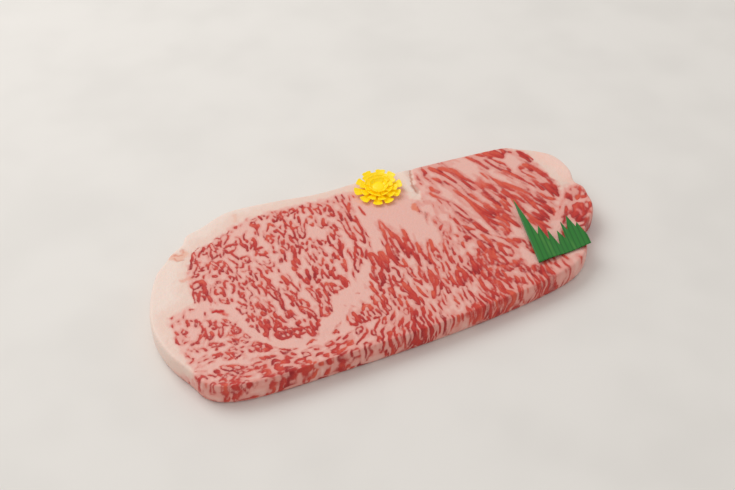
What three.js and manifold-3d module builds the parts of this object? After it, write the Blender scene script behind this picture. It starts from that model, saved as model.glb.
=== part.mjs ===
// A raw slice of wagyu sirloin lying flat, dressed with a moulded plastic chrysanthemum and a cut
// plastic leaf. Millimetres, +Z up. The slice rests on its underside at z = 0, +X runs along its
// length and +Y towards its fat cap. The origin is under the middle of the whole.
import * as THREE from "three";
import { mergeVertices } from "three/addons/utils/BufferGeometryUtils.js";
import Module from "manifold-3d";

const wasm = await Module();
wasm.setup();

// The slice
const THICKNESS = 12.9;
const THICKNESS_RISE = 0.0255; // more thickness for each millimetre towards the fat cap
const RIM_ROUND = 1.5; // how far the side draws in at the cut face
const FOOT_ROUND = 1.6; // and where it meets the board
const SIDE_SQUARENESS = 3; // 2 would make the side a half ellipse
const OUTLINE_STEPS = 144;
const OUTLINE_TENSION = 0.5;
const OUTLINE_DIVISIONS = 2000; // for steps of even length
const SIDE_STEPS = 8;
const FACE_RINGS = 18;

// The slice's edge from the right end, along the fat cap to the left end and back along the front
const OUTLINE = [
  [118, 9.5], [120.5, 19.5], [118.3, 31.8], [111, 39.4], [103, 44.4], [94, 49.2],
  [70, 51.1], [40, 52.6], [10, 53.6], [-15, 52.9], [-40, 56], [-64.3, 57.1],
  [-80.4, 51], [-89.4, 47.9], [-93.3, 42.2], [-99.5, 38.2], [-104.5, 33], [-110.8, 26.2],
  [-116.6, 13.4], [-120.2, 0], [-120.5, -12], [-117.5, -25], [-112, -37], [-107.5, -47],
  [-98, -53], [-80, -55.8], [-40, -56.4], [0, -56], [35, -54.2], [64, -51],
  [84, -46.5], [95, -39.5], [100, -30], [105.5, -22.3], [113.5, -16.2], [117.4, -9.5],
  [118.7, -3.5], [119.8, 3],
];

// Seams of fat and silverskin, each a shallow groove along the cut face
const SEAMS = [
  { path: [[-100, 2], [-85, -8], [-80, -20], [-74, -33], [-60, -42], [-42, -43]], depth: 0.35, reach: 3 },
  { path: [[39, 52], [36, 46], [34, 40], [33.5, 31]], depth: 0.5, reach: 1.8 },
  { path: [[82, -30], [92, -12], [100, -2], [106, 5], [117, 9]], depth: 0.45, reach: 3 },
  { path: [[112, -16], [105, -21], [99, -18], [101, -9], [112, -4]], depth: 0.45, reach: 2.5 },
];

// Broad swells of the cut face: height, wave lengths over 2 pi along x and y, and phases
const SWELLS = [
  { height: 0.3, alongX: 31, alongY: 23, phaseX: 0.6, phaseY: 0.2 },
  { height: 0.16, alongX: 12, alongY: 15, phaseX: 2.1, phaseY: 1.3 },
];

// The chrysanthemum: its place on the slice, its lean towards the slice's front, and its rings of
// petals from the lowest to the inmost
const FLOWER_PLACE = { x: 15.2, y: 41.9 };
const FLOWER_LIFT = 0.6; // of its middle over the cut face, so that its lowest petals clear the face
const FLOWER_LEAN = THREE.MathUtils.degToRad(8.5);
const FLOWER_LEAN_AXIS = THREE.MathUtils.degToRad(-25);
const PETAL_THICKNESS = 0.55;
const PETAL_CUP = 0.16; // rise of a petal's sides over its middle, as a share of its width
const PETAL_RINGS = [
  { count: 10, root: [3.8, 0.9], bend: [9.4, 0.9], tip: [12.9, 2.2], width: 5.5, turn: 0.744 },
  { count: 10, root: [3.6, 1.5], bend: [7.6, 1.7], tip: [10.3, 3], width: 4.8, turn: 0.244 },
  { count: 10, root: [3, 2], bend: [6.2, 2.2], tip: [7.8, 3.9], width: 4.2, turn: 0.744 },
  { count: 10, root: [2.6, 2.4], bend: [4.6, 2.7], tip: [5.3, 4.8], width: 3.1, turn: 0.244 },
];
// Share of the petal's full width at even steps from its root to its blunt tip
const PETAL_WIDTHS = [0.3, 0.5, 0.7, 0.9, 0.95];
const CORE_SIDES = 20;
// From its underside to the shallow disc in its middle, as [radius, height]
const CORE_PROFILE = [
  [0, 0.2], [2.8, 0.2], [4.2, 0.8], [4.2, 1.4], [3.9, 2], [3.5, 2.5], [3.2, 2.8], [2.7, 3.15],
  [1.8, 3.35], [0, 3.45],
];

// The leaf: the corner of its base, the way its base and its blades run, and its cut edge
const LEAF_CORNER = { x: 66.6, y: -39.5 };
const LEAF_BASE_ANGLE = THREE.MathUtils.degToRad(3.6);
const LEAF_BLADE_LEAN = THREE.MathUtils.degToRad(12.6);
const LEAF_THICKNESS = 0.4;
const LEAF_LIFT = 0.5; // over the cut face at its lowest, which clears the face's swells
const LEAF_WAVE = 0.9;
const LEAF_WAVE_ALONG = 4.2; // wave length over 2 pi along the base
const LEAF_WAVE_UP = 19; // and up the blades
const LEAF_TIP_RISE = 1.4;
const LEAF_ROWS = 8;
const LEAF_COLUMNS_PER_CUT = 2;
// Tips and notches as [distance along the base, height over it], from the tall blade to the far edge
const LEAF_CUTS = [
  [0, 45.8], [5.4, 17.1], [7.5, 23], [10.4, 11.3], [11.7, 18.3], [14.8, 6.1], [16.7, 15.9], [19.5, 8.7],
  [20.4, 20.5], [22.3, 13.5], [24.8, 22.8], [27.3, 13.5], [28.7, 16.1], [31.4, 5.8],
];

const between = (a, b, share) => a + (b - a) * share;

// Distance from a point to a line of straight stretches
function distanceToPath(path, x, y) {
  let nearest = Infinity;
  for (let i = 1; i < path.length; i++) {
    const [ax, ay] = path[i - 1];
    const [bx, by] = path[i];
    const length2 = (bx - ax) ** 2 + (by - ay) ** 2;
    const along = THREE.MathUtils.clamp(((x - ax) * (bx - ax) + (y - ay) * (by - ay)) / length2, 0, 1);
    nearest = Math.min(nearest, Math.hypot(x - between(ax, bx, along), y - between(ay, by, along)));
  }
  return nearest;
}

// Height of the cut face over the board, without its fine relief
function faceLevel(y) {
  return THICKNESS + THICKNESS_RISE * y;
}

// Height of the cut face with its swells and seams
function faceHeight(x, y) {
  let height = faceLevel(y);
  for (const swell of SWELLS) {
    const acrossX = Math.sin(x / swell.alongX + swell.phaseX);
    const acrossY = Math.cos(y / swell.alongY + swell.phaseY);
    height += swell.height * acrossX * acrossY;
  }
  let groove = 0;
  for (const seam of SEAMS) {
    groove = Math.max(groove, seam.depth * Math.exp(-((distanceToPath(seam.path, x, y) / seam.reach) ** 2)));
  }
  return height - groove;
}

// A triangle mesh from rows of points that all run the same way round, open or closed into rings
function rowsToTriangles(rows, first, closed) {
  const triangles = [];
  const count = rows[0].length;
  const spans = closed ? count : count - 1;
  for (let r = 0; r + 1 < rows.length; r++) {
    for (let i = 0; i < spans; i++) {
      const a = first + r * count + i;
      const b = first + r * count + ((i + 1) % count);
      triangles.push(a, b, b + count, a, b + count, a + count);
    }
  }
  return triangles;
}

function geometryFrom(points, triangles) {
  const geometry = new THREE.BufferGeometry().setFromPoints(points);
  geometry.setIndex(triangles);
  return geometry;
}

// A closed body from rings, with a flat or gently domed lid at each end
function closedRings(rings, startCentre, endCentre) {
  const count = rings[0].length;
  const points = [...rings.flat(), startCentre, endCentre];
  const triangles = rowsToTriangles(rings, 0, true);
  const start = points.length - 2;
  const end = points.length - 1;
  const lastRing = (rings.length - 1) * count;
  for (let i = 0; i < count; i++) {
    const next = (i + 1) % count;
    triangles.push(start, next, i);
    triangles.push(end, lastRing + i, lastRing + next);
  }
  return geometryFrom(points, triangles);
}

// The side of the slice at a turn from -1, its foot, to 1, its rim: share of the height, and how far in
function sideAt(turn) {
  const sine = Math.sin((turn * Math.PI) / 2);
  const cosine = Math.cos((turn * Math.PI) / 2);
  const power = 2 / SIDE_SQUARENESS;
  return {
    height: 0.5 + 0.5 * Math.sign(sine) * Math.abs(sine) ** power,
    inset: (turn < 0 ? FOOT_ROUND : RIM_ROUND) * (1 - Math.max(cosine, 0) ** power),
  };
}

function makeSlice() {
  const knots = OUTLINE.map(([x, y]) => new THREE.Vector3(x, y, 0));
  const edge = new THREE.CatmullRomCurve3(knots, true, "catmullrom", OUTLINE_TENSION);
  edge.arcLengthDivisions = OUTLINE_DIVISIONS;
  const stations = Array.from({ length: OUTLINE_STEPS }, (_, i) => {
    const tangent = edge.getTangentAt(i / OUTLINE_STEPS);
    return { at: edge.getPointAt(i / OUTLINE_STEPS), inwards: new THREE.Vector3(-tangent.y, tangent.x, 0) };
  });
  const insetRing = (inset) => stations.map(({ at, inwards }) => at.clone().addScaledVector(inwards, inset));

  const rings = [];
  for (let step = 0; step <= SIDE_STEPS; step++) {
    const side = sideAt(between(-1, 1, step / SIDE_STEPS));
    const ring = insetRing(side.inset);
    for (const point of ring) {
      point.z = side.height * faceHeight(point.x, point.y);
    }
    rings.push(ring);
  }
  const rim = rings[rings.length - 1];
  for (let k = 1; k < FACE_RINGS; k++) {
    const share = 1 - k / FACE_RINGS;
    const inner = rim.map(({ x, y }) => [x * share, y * share]);
    rings.push(inner.map(([x, y]) => new THREE.Vector3(x, y, faceHeight(x, y))));
  }
  return closedRings(rings, new THREE.Vector3(), new THREE.Vector3(0, 0, faceHeight(0, 0)));
}

// A closed mesh as a solid that can be joined to others
function toSolid(geometry) {
  const bare = new THREE.BufferGeometry();
  bare.setAttribute("position", geometry.getAttribute("position"));
  bare.setIndex(geometry.getIndex());
  const merged = mergeVertices(bare);
  return new wasm.Manifold(
    new wasm.Mesh({
      numProp: 3,
      vertProperties: merged.getAttribute("position").array,
      triVerts: new Uint32Array(merged.getIndex().array),
    }),
  );
}

function fromSolid(solid) {
  const mesh = solid.getMesh();
  const geometry = new THREE.BufferGeometry();
  geometry.setAttribute("position", new THREE.BufferAttribute(mesh.vertProperties, mesh.numProp));
  geometry.setIndex(new THREE.BufferAttribute(mesh.triVerts, 1));
  return geometry;
}

// One spatula petal that runs out along +X from its root, bends and ends in a blunt tip
function makePetal({ root, bend, tip, width }) {
  const spine = new THREE.QuadraticBezierCurve3(
    new THREE.Vector3(root[0], 0, root[1]),
    new THREE.Vector3(bend[0], 0, bend[1]),
    new THREE.Vector3(tip[0], 0, tip[1]),
  );
  const sections = PETAL_WIDTHS.map((share, i) => {
    const along = i / (PETAL_WIDTHS.length - 1);
    const centre = spine.getPoint(along);
    const tangent = spine.getTangent(along);
    const normal = new THREE.Vector3(-tangent.z, 0, tangent.x);
    const up = normal.clone().multiplyScalar(PETAL_THICKNESS / 2);
    const side = new THREE.Vector3(0, (share * width) / 2, 0);
    const rim = centre.clone().addScaledVector(normal, PETAL_CUP * share * width);
    return [
      rim.clone().sub(side).sub(up),
      centre.clone().sub(up),
      rim.clone().add(side).sub(up),
      rim.clone().add(side).add(up),
      centre.clone().add(up),
      rim.clone().sub(side).add(up),
    ];
  });
  return closedRings(sections, spine.getPoint(0), spine.getPoint(1));
}

function makeFlower() {
  const profile = CORE_PROFILE.map(([radius, height]) => new THREE.Vector2(radius, height));
  const core = new THREE.LatheGeometry(profile, CORE_SIDES).rotateX(Math.PI / 2);
  let flower = toSolid(core);
  for (const ring of PETAL_RINGS) {
    const petal = makePetal(ring);
    for (let i = 0; i < ring.count; i++) {
      const angle = ((i + ring.turn) / ring.count) * 2 * Math.PI;
      flower = flower.add(toSolid(petal.clone().rotateZ(angle)));
    }
  }
  return fromSolid(flower);
}

// The leaf's sheet at a share of its height, under or over its middle
function leafPoint(along, height, top, offset) {
  const x = LEAF_CORNER.x + along * Math.cos(LEAF_BASE_ANGLE) + height * Math.sin(LEAF_BLADE_LEAN);
  const y = LEAF_CORNER.y + along * Math.sin(LEAF_BASE_ANGLE) + height * Math.cos(LEAF_BLADE_LEAN);
  const wave = LEAF_WAVE * (0.5 + 0.5 * Math.sin(along / LEAF_WAVE_ALONG + height / LEAF_WAVE_UP));
  const rise = LEAF_TIP_RISE * (height / top) ** 2 * (height / LEAF_CUTS[0][1]);
  return new THREE.Vector3(x, y, faceLevel(y) + LEAF_LIFT + LEAF_THICKNESS / 2 + wave + rise + offset);
}

function makeLeaf() {
  const columns = [];
  for (let i = 1; i < LEAF_CUTS.length; i++) {
    for (let k = 0; k < LEAF_COLUMNS_PER_CUT; k++) {
      const share = k / LEAF_COLUMNS_PER_CUT;
      columns.push([0, 1].map((axis) => between(LEAF_CUTS[i - 1][axis], LEAF_CUTS[i][axis], share)));
    }
  }
  columns.push(LEAF_CUTS[LEAF_CUTS.length - 1]);
  const sheet = (offset) =>
    Array.from({ length: LEAF_ROWS + 1 }, (_, row) =>
      columns.map(([along, top]) => leafPoint(along, (top * row) / LEAF_ROWS, top, offset)),
    );
  const over = sheet(LEAF_THICKNESS / 2);
  const under = sheet(-LEAF_THICKNESS / 2);
  const count = columns.length;
  const half = count * (LEAF_ROWS + 1);
  const triangles = rowsToTriangles(over, 0, false);
  const turned = rowsToTriangles(under, half, false);
  for (let t = 0; t < turned.length; t += 3) {
    triangles.push(turned[t], turned[t + 2], turned[t + 1]);
  }
  const border = [];
  for (let i = 0; i < count; i++) border.push(i);
  for (let row = 1; row <= LEAF_ROWS; row++) border.push(row * count + count - 1);
  for (let i = count - 2; i >= 0; i--) border.push(LEAF_ROWS * count + i);
  for (let row = LEAF_ROWS - 1; row > 0; row--) border.push(row * count);
  border.forEach((a, i) => {
    const b = border[(i + 1) % border.length];
    triangles.push(a, a + half, b + half, a, b + half, b);
  });
  return geometryFrom([...over.flat(), ...under.flat()], triangles);
}

function addPiece(group, name, geometry, finish) {
  const mesh = new THREE.Mesh(geometry, new THREE.MeshStandardMaterial(finish));
  mesh.name = name;
  group.add(mesh);
  return mesh;
}

const part = new THREE.Group();
addPiece(part, "steak", makeSlice(), { color: 0xd98f86, roughness: 0.42, metalness: 0 });
addPiece(part, "leaf", makeLeaf(), { color: 0x2f7d3a, roughness: 0.38, metalness: 0 });

const flower = addPiece(part, "flower", makeFlower(), { color: 0xf6d21c, roughness: 0.45, metalness: 0 });
flower.position.set(FLOWER_PLACE.x, FLOWER_PLACE.y, faceLevel(FLOWER_PLACE.y) + FLOWER_LIFT);
const leanAxis = new THREE.Vector3(Math.cos(FLOWER_LEAN_AXIS), Math.sin(FLOWER_LEAN_AXIS), 0);
flower.quaternion.setFromAxisAngle(leanAxis, FLOWER_LEAN);

// The origin under the middle of the slice's box
const span = new THREE.Box3().setFromObject(part);
part.position.set(-(span.min.x + span.max.x) / 2, -(span.min.y + span.max.y) / 2, 0);

export default part;
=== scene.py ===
"""Builds a raw slice of marbled sirloin with the plastic chrysanthemum and leaf that lie on it.

Sizes are in millimetres, in the frame of the slice's outline, until a mesh is made in metres. The
slice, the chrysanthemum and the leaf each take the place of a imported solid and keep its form.
"""
import logging
import math
from collections.abc import Sequence
from dataclasses import dataclass, field
from enum import Enum

import bpy
import numpy as np
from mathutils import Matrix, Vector
from mathutils.geometry import delaunay_2d_cdt


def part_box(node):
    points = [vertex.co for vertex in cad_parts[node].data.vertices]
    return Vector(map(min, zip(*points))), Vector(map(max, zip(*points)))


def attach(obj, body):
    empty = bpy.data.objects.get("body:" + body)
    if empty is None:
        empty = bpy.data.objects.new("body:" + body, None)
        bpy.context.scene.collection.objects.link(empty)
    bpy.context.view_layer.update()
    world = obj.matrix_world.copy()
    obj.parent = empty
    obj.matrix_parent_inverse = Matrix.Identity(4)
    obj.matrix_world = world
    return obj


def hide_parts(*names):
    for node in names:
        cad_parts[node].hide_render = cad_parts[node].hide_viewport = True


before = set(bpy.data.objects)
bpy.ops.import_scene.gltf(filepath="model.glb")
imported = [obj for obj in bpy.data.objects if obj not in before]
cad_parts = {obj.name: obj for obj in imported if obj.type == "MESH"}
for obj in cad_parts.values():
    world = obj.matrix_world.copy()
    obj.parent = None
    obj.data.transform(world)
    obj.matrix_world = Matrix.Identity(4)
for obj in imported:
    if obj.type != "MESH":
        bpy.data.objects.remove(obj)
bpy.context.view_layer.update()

LOG = logging.getLogger("sirloin")
MM = 0.001
Point = tuple[float, float]
Path2D = list[Point]
Row = tuple[float, ...]
Colour = tuple[float, float, float, float]
Array = np.ndarray

# The slice's edge from the right end, along the fat cap to the left end and back along the front
OUTLINE: Path2D = [
    (118, 9.5), (120.5, 19.5), (118.3, 31.8), (111, 39.4), (103, 44.4), (94, 49.2),
    (70, 51.1), (40, 52.6), (10, 53.6), (-15, 52.9), (-40, 56), (-64.3, 57.1),
    (-80.4, 51), (-89.4, 47.9), (-93.3, 42.2), (-99.5, 38.2), (-104.5, 33), (-110.8, 26.2),
    (-116.6, 13.4), (-120.2, 0), (-120.5, -12), (-117.5, -25), (-112, -37), (-107.5, -47),
    (-98, -53), (-80, -55.8), (-40, -56.4), (0, -56), (35, -54.2), (64, -51),
    (84, -46.5), (95, -39.5), (100, -30), (105.5, -22.3), (113.5, -16.2), (117.4, -9.5),
    (118.7, -3.5), (119.8, 3),
]

# The muscles all together, inside the fat cap
MUSCLES: Path2D = [
    (-113, -3), (-104, 1), (-99, 0), (-98.5, 12), (-97, 22), (-93, 29), (-90, 34.5), (-85, 38),
    (-78, 39.5), (-70, 44), (-60, 48), (-40, 49.5), (-20, 48.5), (0, 48), (15, 47), (27, 47),
    (28.5, 38), (29, 30), (33, 26), (34.5, 33), (34.5, 40), (36.5, 46), (39, 56), (95, 56), (99, 47),
    (103, 43), (107, 37), (106, 30), (107.5, 20), (109.5, 12), (107, 6), (112, 8.5), (125, 10),
    (125, -40), (100, -62), (-100, -62), (-112, -50), (-111, -38), (-112.5, -28), (-113.5, -20),
    (-113, -10),
]

# Places in the muscles that are fat alone
FAT_PATCHES: list[Path2D] = [
    [(-3, 50), (-3, 7), (0, 1), (2, 5), (4, 12), (6, 21), (8, 13), (11, 7), (13, 9.5), (15, 8),
     (16, -2), (17, -3), (20, -6), (23, -3), (26, -8), (30, -5), (32, 2), (31, 10), (29, 20),
     (30, 30), (33, 52)],
    [(-13, 0), (-9, -4), (-12, -12), (-15, -18), (-19, -24), (-24, -30), (-33, -32), (-36, -37),
     (-46, -40), (-50, -37), (-47, -32), (-40, -30), (-38, -22), (-34, -18), (-26, -16), (-25, -8),
     (-20, -12), (-16, -8)],
    [(-53, 8), (-49, 12), (-46, 6), (-47, 0), (-51, 1)],
    [(-30, 28), (-26, 32), (-23, 28), (-24, 20), (-28, 21)],
    [(-62, 44), (-58, 45), (-56, 39), (-60, 37)],
    [(59, 50), (71, 51), (75, 40), (73, 31), (67, 30), (64, 38)],
    [(72, 37), (75, 36), (83, 25), (90, 12), (93, 6), (89, 8), (82, 18), (76, 27)],
    [(90, 40), (94, 42), (99, 41), (98, 33), (93, 31), (90, 34)],
    [(49, 27), (52, 24), (54, 8), (57, -8), (55, -9), (52, 4)],
    [(61, -22), (66, -24), (69, -38), (62, -38), (59, -30)],
    [(65, -11), (70, -12), (71, -18), (66, -18)],
]

# Seams of fat between the muscles, with their half widths
FAT_SEAMS: list[tuple[Path2D, float]] = [
    ([(-100, 2), (-85, -8), (-81, -20), (-74, -34), (-60, -42), (-40, -42)], 2.4),
    ([(82, -34), (84, -26), (92, -12), (100, -2), (106, 5), (113, 9)], 2.3),
    ([(104, -6), (110, -4.5), (117, -7)], 1.2),
    ([(104, -6), (99, -10), (98, -18), (103, -23)], 1.5),
    ([(-110, -38.5), (-100, -39), (-84, -40), (-60, -41)], 1.2),
]

# The grain at places on the face: x, y, lean to the right going up in degrees, the flecks' length and
# width, the share of lean between the drawn flecks, and how many of the flecks are hollow loops
GRAIN: list[Row] = [
    (-92, 30, 28, 6, 1.8, 0.50, 1), (-80, 34, 22, 6, 1.8, 0.50, 1), (-66, 38, 18, 5.5, 1.8, 0.46, 1),
    (-55, 44, 10, 5, 1.7, 0.48, 1), (-40, 44, 8, 5, 1.8, 0.52, 1), (-25, 43, 3, 6, 1.8, 0.44, 0.8),
    (-12, 42, -6, 9, 1.8, 0.46, 0.3), (-92, 18, 24, 6, 1.7, 0.48, 1), (-78, 22, 14, 6, 1.9, 0.48, 1),
    (-65, 22, 6, 6, 1.9, 0.48, 1), (-50, 24, 5, 5.5, 2, 0.40, 0.8), (-36, 26, 10, 7, 1.9, 0.46, 0.9),
    (-24, 24, 6, 7, 1.9, 0.30, 0.6), (-10, 24, -3, 12, 1.9, 0.38, 0.5), (-93, 6, 10, 6, 1.6, 0.52, 1),
    (-80, 4, 8, 5, 1.8, 0.50, 1), (-65, 4, 4, 6, 1.8, 0.50, 1), (-50, 4, 4, 5.5, 2, 0.26, 0.5),
    (-38, 6, 12, 6, 1.9, 0.42, 0.8), (-26, 6, 10, 7, 1.8, 0.36, 0.8), (-10, 8, 3, 12, 1.8, 0.20, 0.6),
    (-75, -10, 8, 5, 1.8, 0.48, 1), (-62, -14, 0, 6, 1.8, 0.52, 1), (-48, -14, -3, 6, 1.9, 0.46, 0.9),
    (-34, -10, 6, 6, 2, 0.38, 0.8), (-20, -8, 10, 9, 1.9, 0.22, 0.9), (-60, -30, 0, 5, 1.8, 0.52, 1),
    (-46, -26, 5, 5, 1.9, 0.50, 1), (-68, -34, -30, 4.5, 1.8, 0.52, 1), (-105, -8, 10, 4, 1.7, 0.34, 1),
    (-100, -20, 20, 4, 1.9, 0.42, 1), (-90, -18, 10, 4.5, 1.9, 0.44, 1), (-92, -28, 80, 4, 1.9, 0.42, 1),
    (-100, -34, 85, 5, 1.7, 0.36, 0.6), (-84, -34, 70, 5, 2, 0.46, 0.9), (-100, -46, 80, 6, 1.8, 0.52, 0.8),
    (-85, -47, 85, 6, 1.9, 0.46, 0.9), (-60, -46, 85, 5, 1.9, 0.40, 0.9), (-32, -40, 30, 5, 1.9, 0.46, 0.9),
    (-16, -36, 2, 6, 1.7, 0.34, 0.5), (-6, -10, 4, 9, 1.6, 0.16, 0.3), (-4, -28, 2, 7, 1.7, 0.24, 0.3),
    (6, 5, 2, 10, 1.5, 0.12, 0.2), (10, -15, 3, 8, 1.5, 0.22, 0.2), (12, -32, 8, 8, 1.6, 0.38, 0.2),
    (22, -12, 3, 8, 1.5, 0.16, 0.2), (24, -32, 8, 8, 1.6, 0.42, 0.2), (34, -12, 8, 6, 1.5, 0.16, 0.2),
    (38, -28, 15, 8, 1.7, 0.38, 0.2), (32, 5, 12, 6, 1.2, 0.12, 0), (30, 18, 22, 8, 1.1, 0.08, 0),
    (42, 20, -20, 14, 1.4, 0.14, 0), (42, 40, -10, 8, 1.6, 0.22, 0.2), (48, 0, -22, 12, 1.5, 0.28, 0),
    (50, -24, -10, 5, 1.7, 0.42, 0.4), (52, 40, -26, 14, 1.7, 0.10, 0), (58, 15, -14, 20, 1.6, 0.14, 0),
    (60, -8, -12, 12, 1.7, 0.18, 0), (58, -30, 0, 5, 1.7, 0.36, 0.4), (66, 20, -16, 18, 1.7, 0.16, 0),
    (70, 0, -16, 14, 1.6, 0.28, 0), (72, -20, -14, 9, 1.7, 0.34, 0), (76, 42, -24, 14, 1.8, 0.08, 0),
    (80, 18, -26, 14, 1.8, 0.12, 0), (84, -5, -14, 10, 1.7, 0.40, 0), (86, 45, -30, 8, 1.8, 0.16, 0),
    (90, 25, -22, 16, 1.8, 0.10, 0), (92, 0, -14, 9, 1.8, 0.36, 0), (96, 14, -8, 14, 1.8, 0.10, 0),
    (103, 12, -10, 9, 1.8, 0.3, 0), (103, 36, -20, 8, 1.8, 0.26, 0.2), (102, 22, -30, 10, 1.8, 0.16, 0),
    (86, -30, -20, 9, 1.8, 0.45, 0), (106, -12, 50, 7, 2.6, 0.95, 0), (110, 2, 45, 7, 1.9, 0.45, 0),
    (100, -26, 50, 7, 2.2, 0.6, 0), (60, -46, 0, 8, 1.8, 0.5, 0.3), (0, -48, 3, 8, 1.8, 0.5, 0.3),
    (30, -48, 6, 8, 1.8, 0.52, 0.3), (-40, -50, 75, 6, 1.8, 0.4, 0.6), (-20, -50, 30, 6, 1.8, 0.45, 0.6),
]

# The part of the face whose flecks are drawn one by one, with few small ones at random between them
HAND_DRAWN: Path2D = [
    (-126, -47.5), (-42, -46), (-36, -42.5), (32, -42), (36, -38.5), (62, -37), (66, -30),
    (72, -24), (90, -20), (100, -22), (126, -22), (126, 60), (-126, 60),
]


class Tone(Enum):
    """A drawn fleck's lean: how bright it is, from -1 to 1, and the share of its half width that shows."""

    PLAIN = (0.0, 1.0)
    BRIGHT = (0.55, 1.0)
    DEEP = (-0.5, 1.0)
    PALE = (0.1, 0.6)
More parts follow.
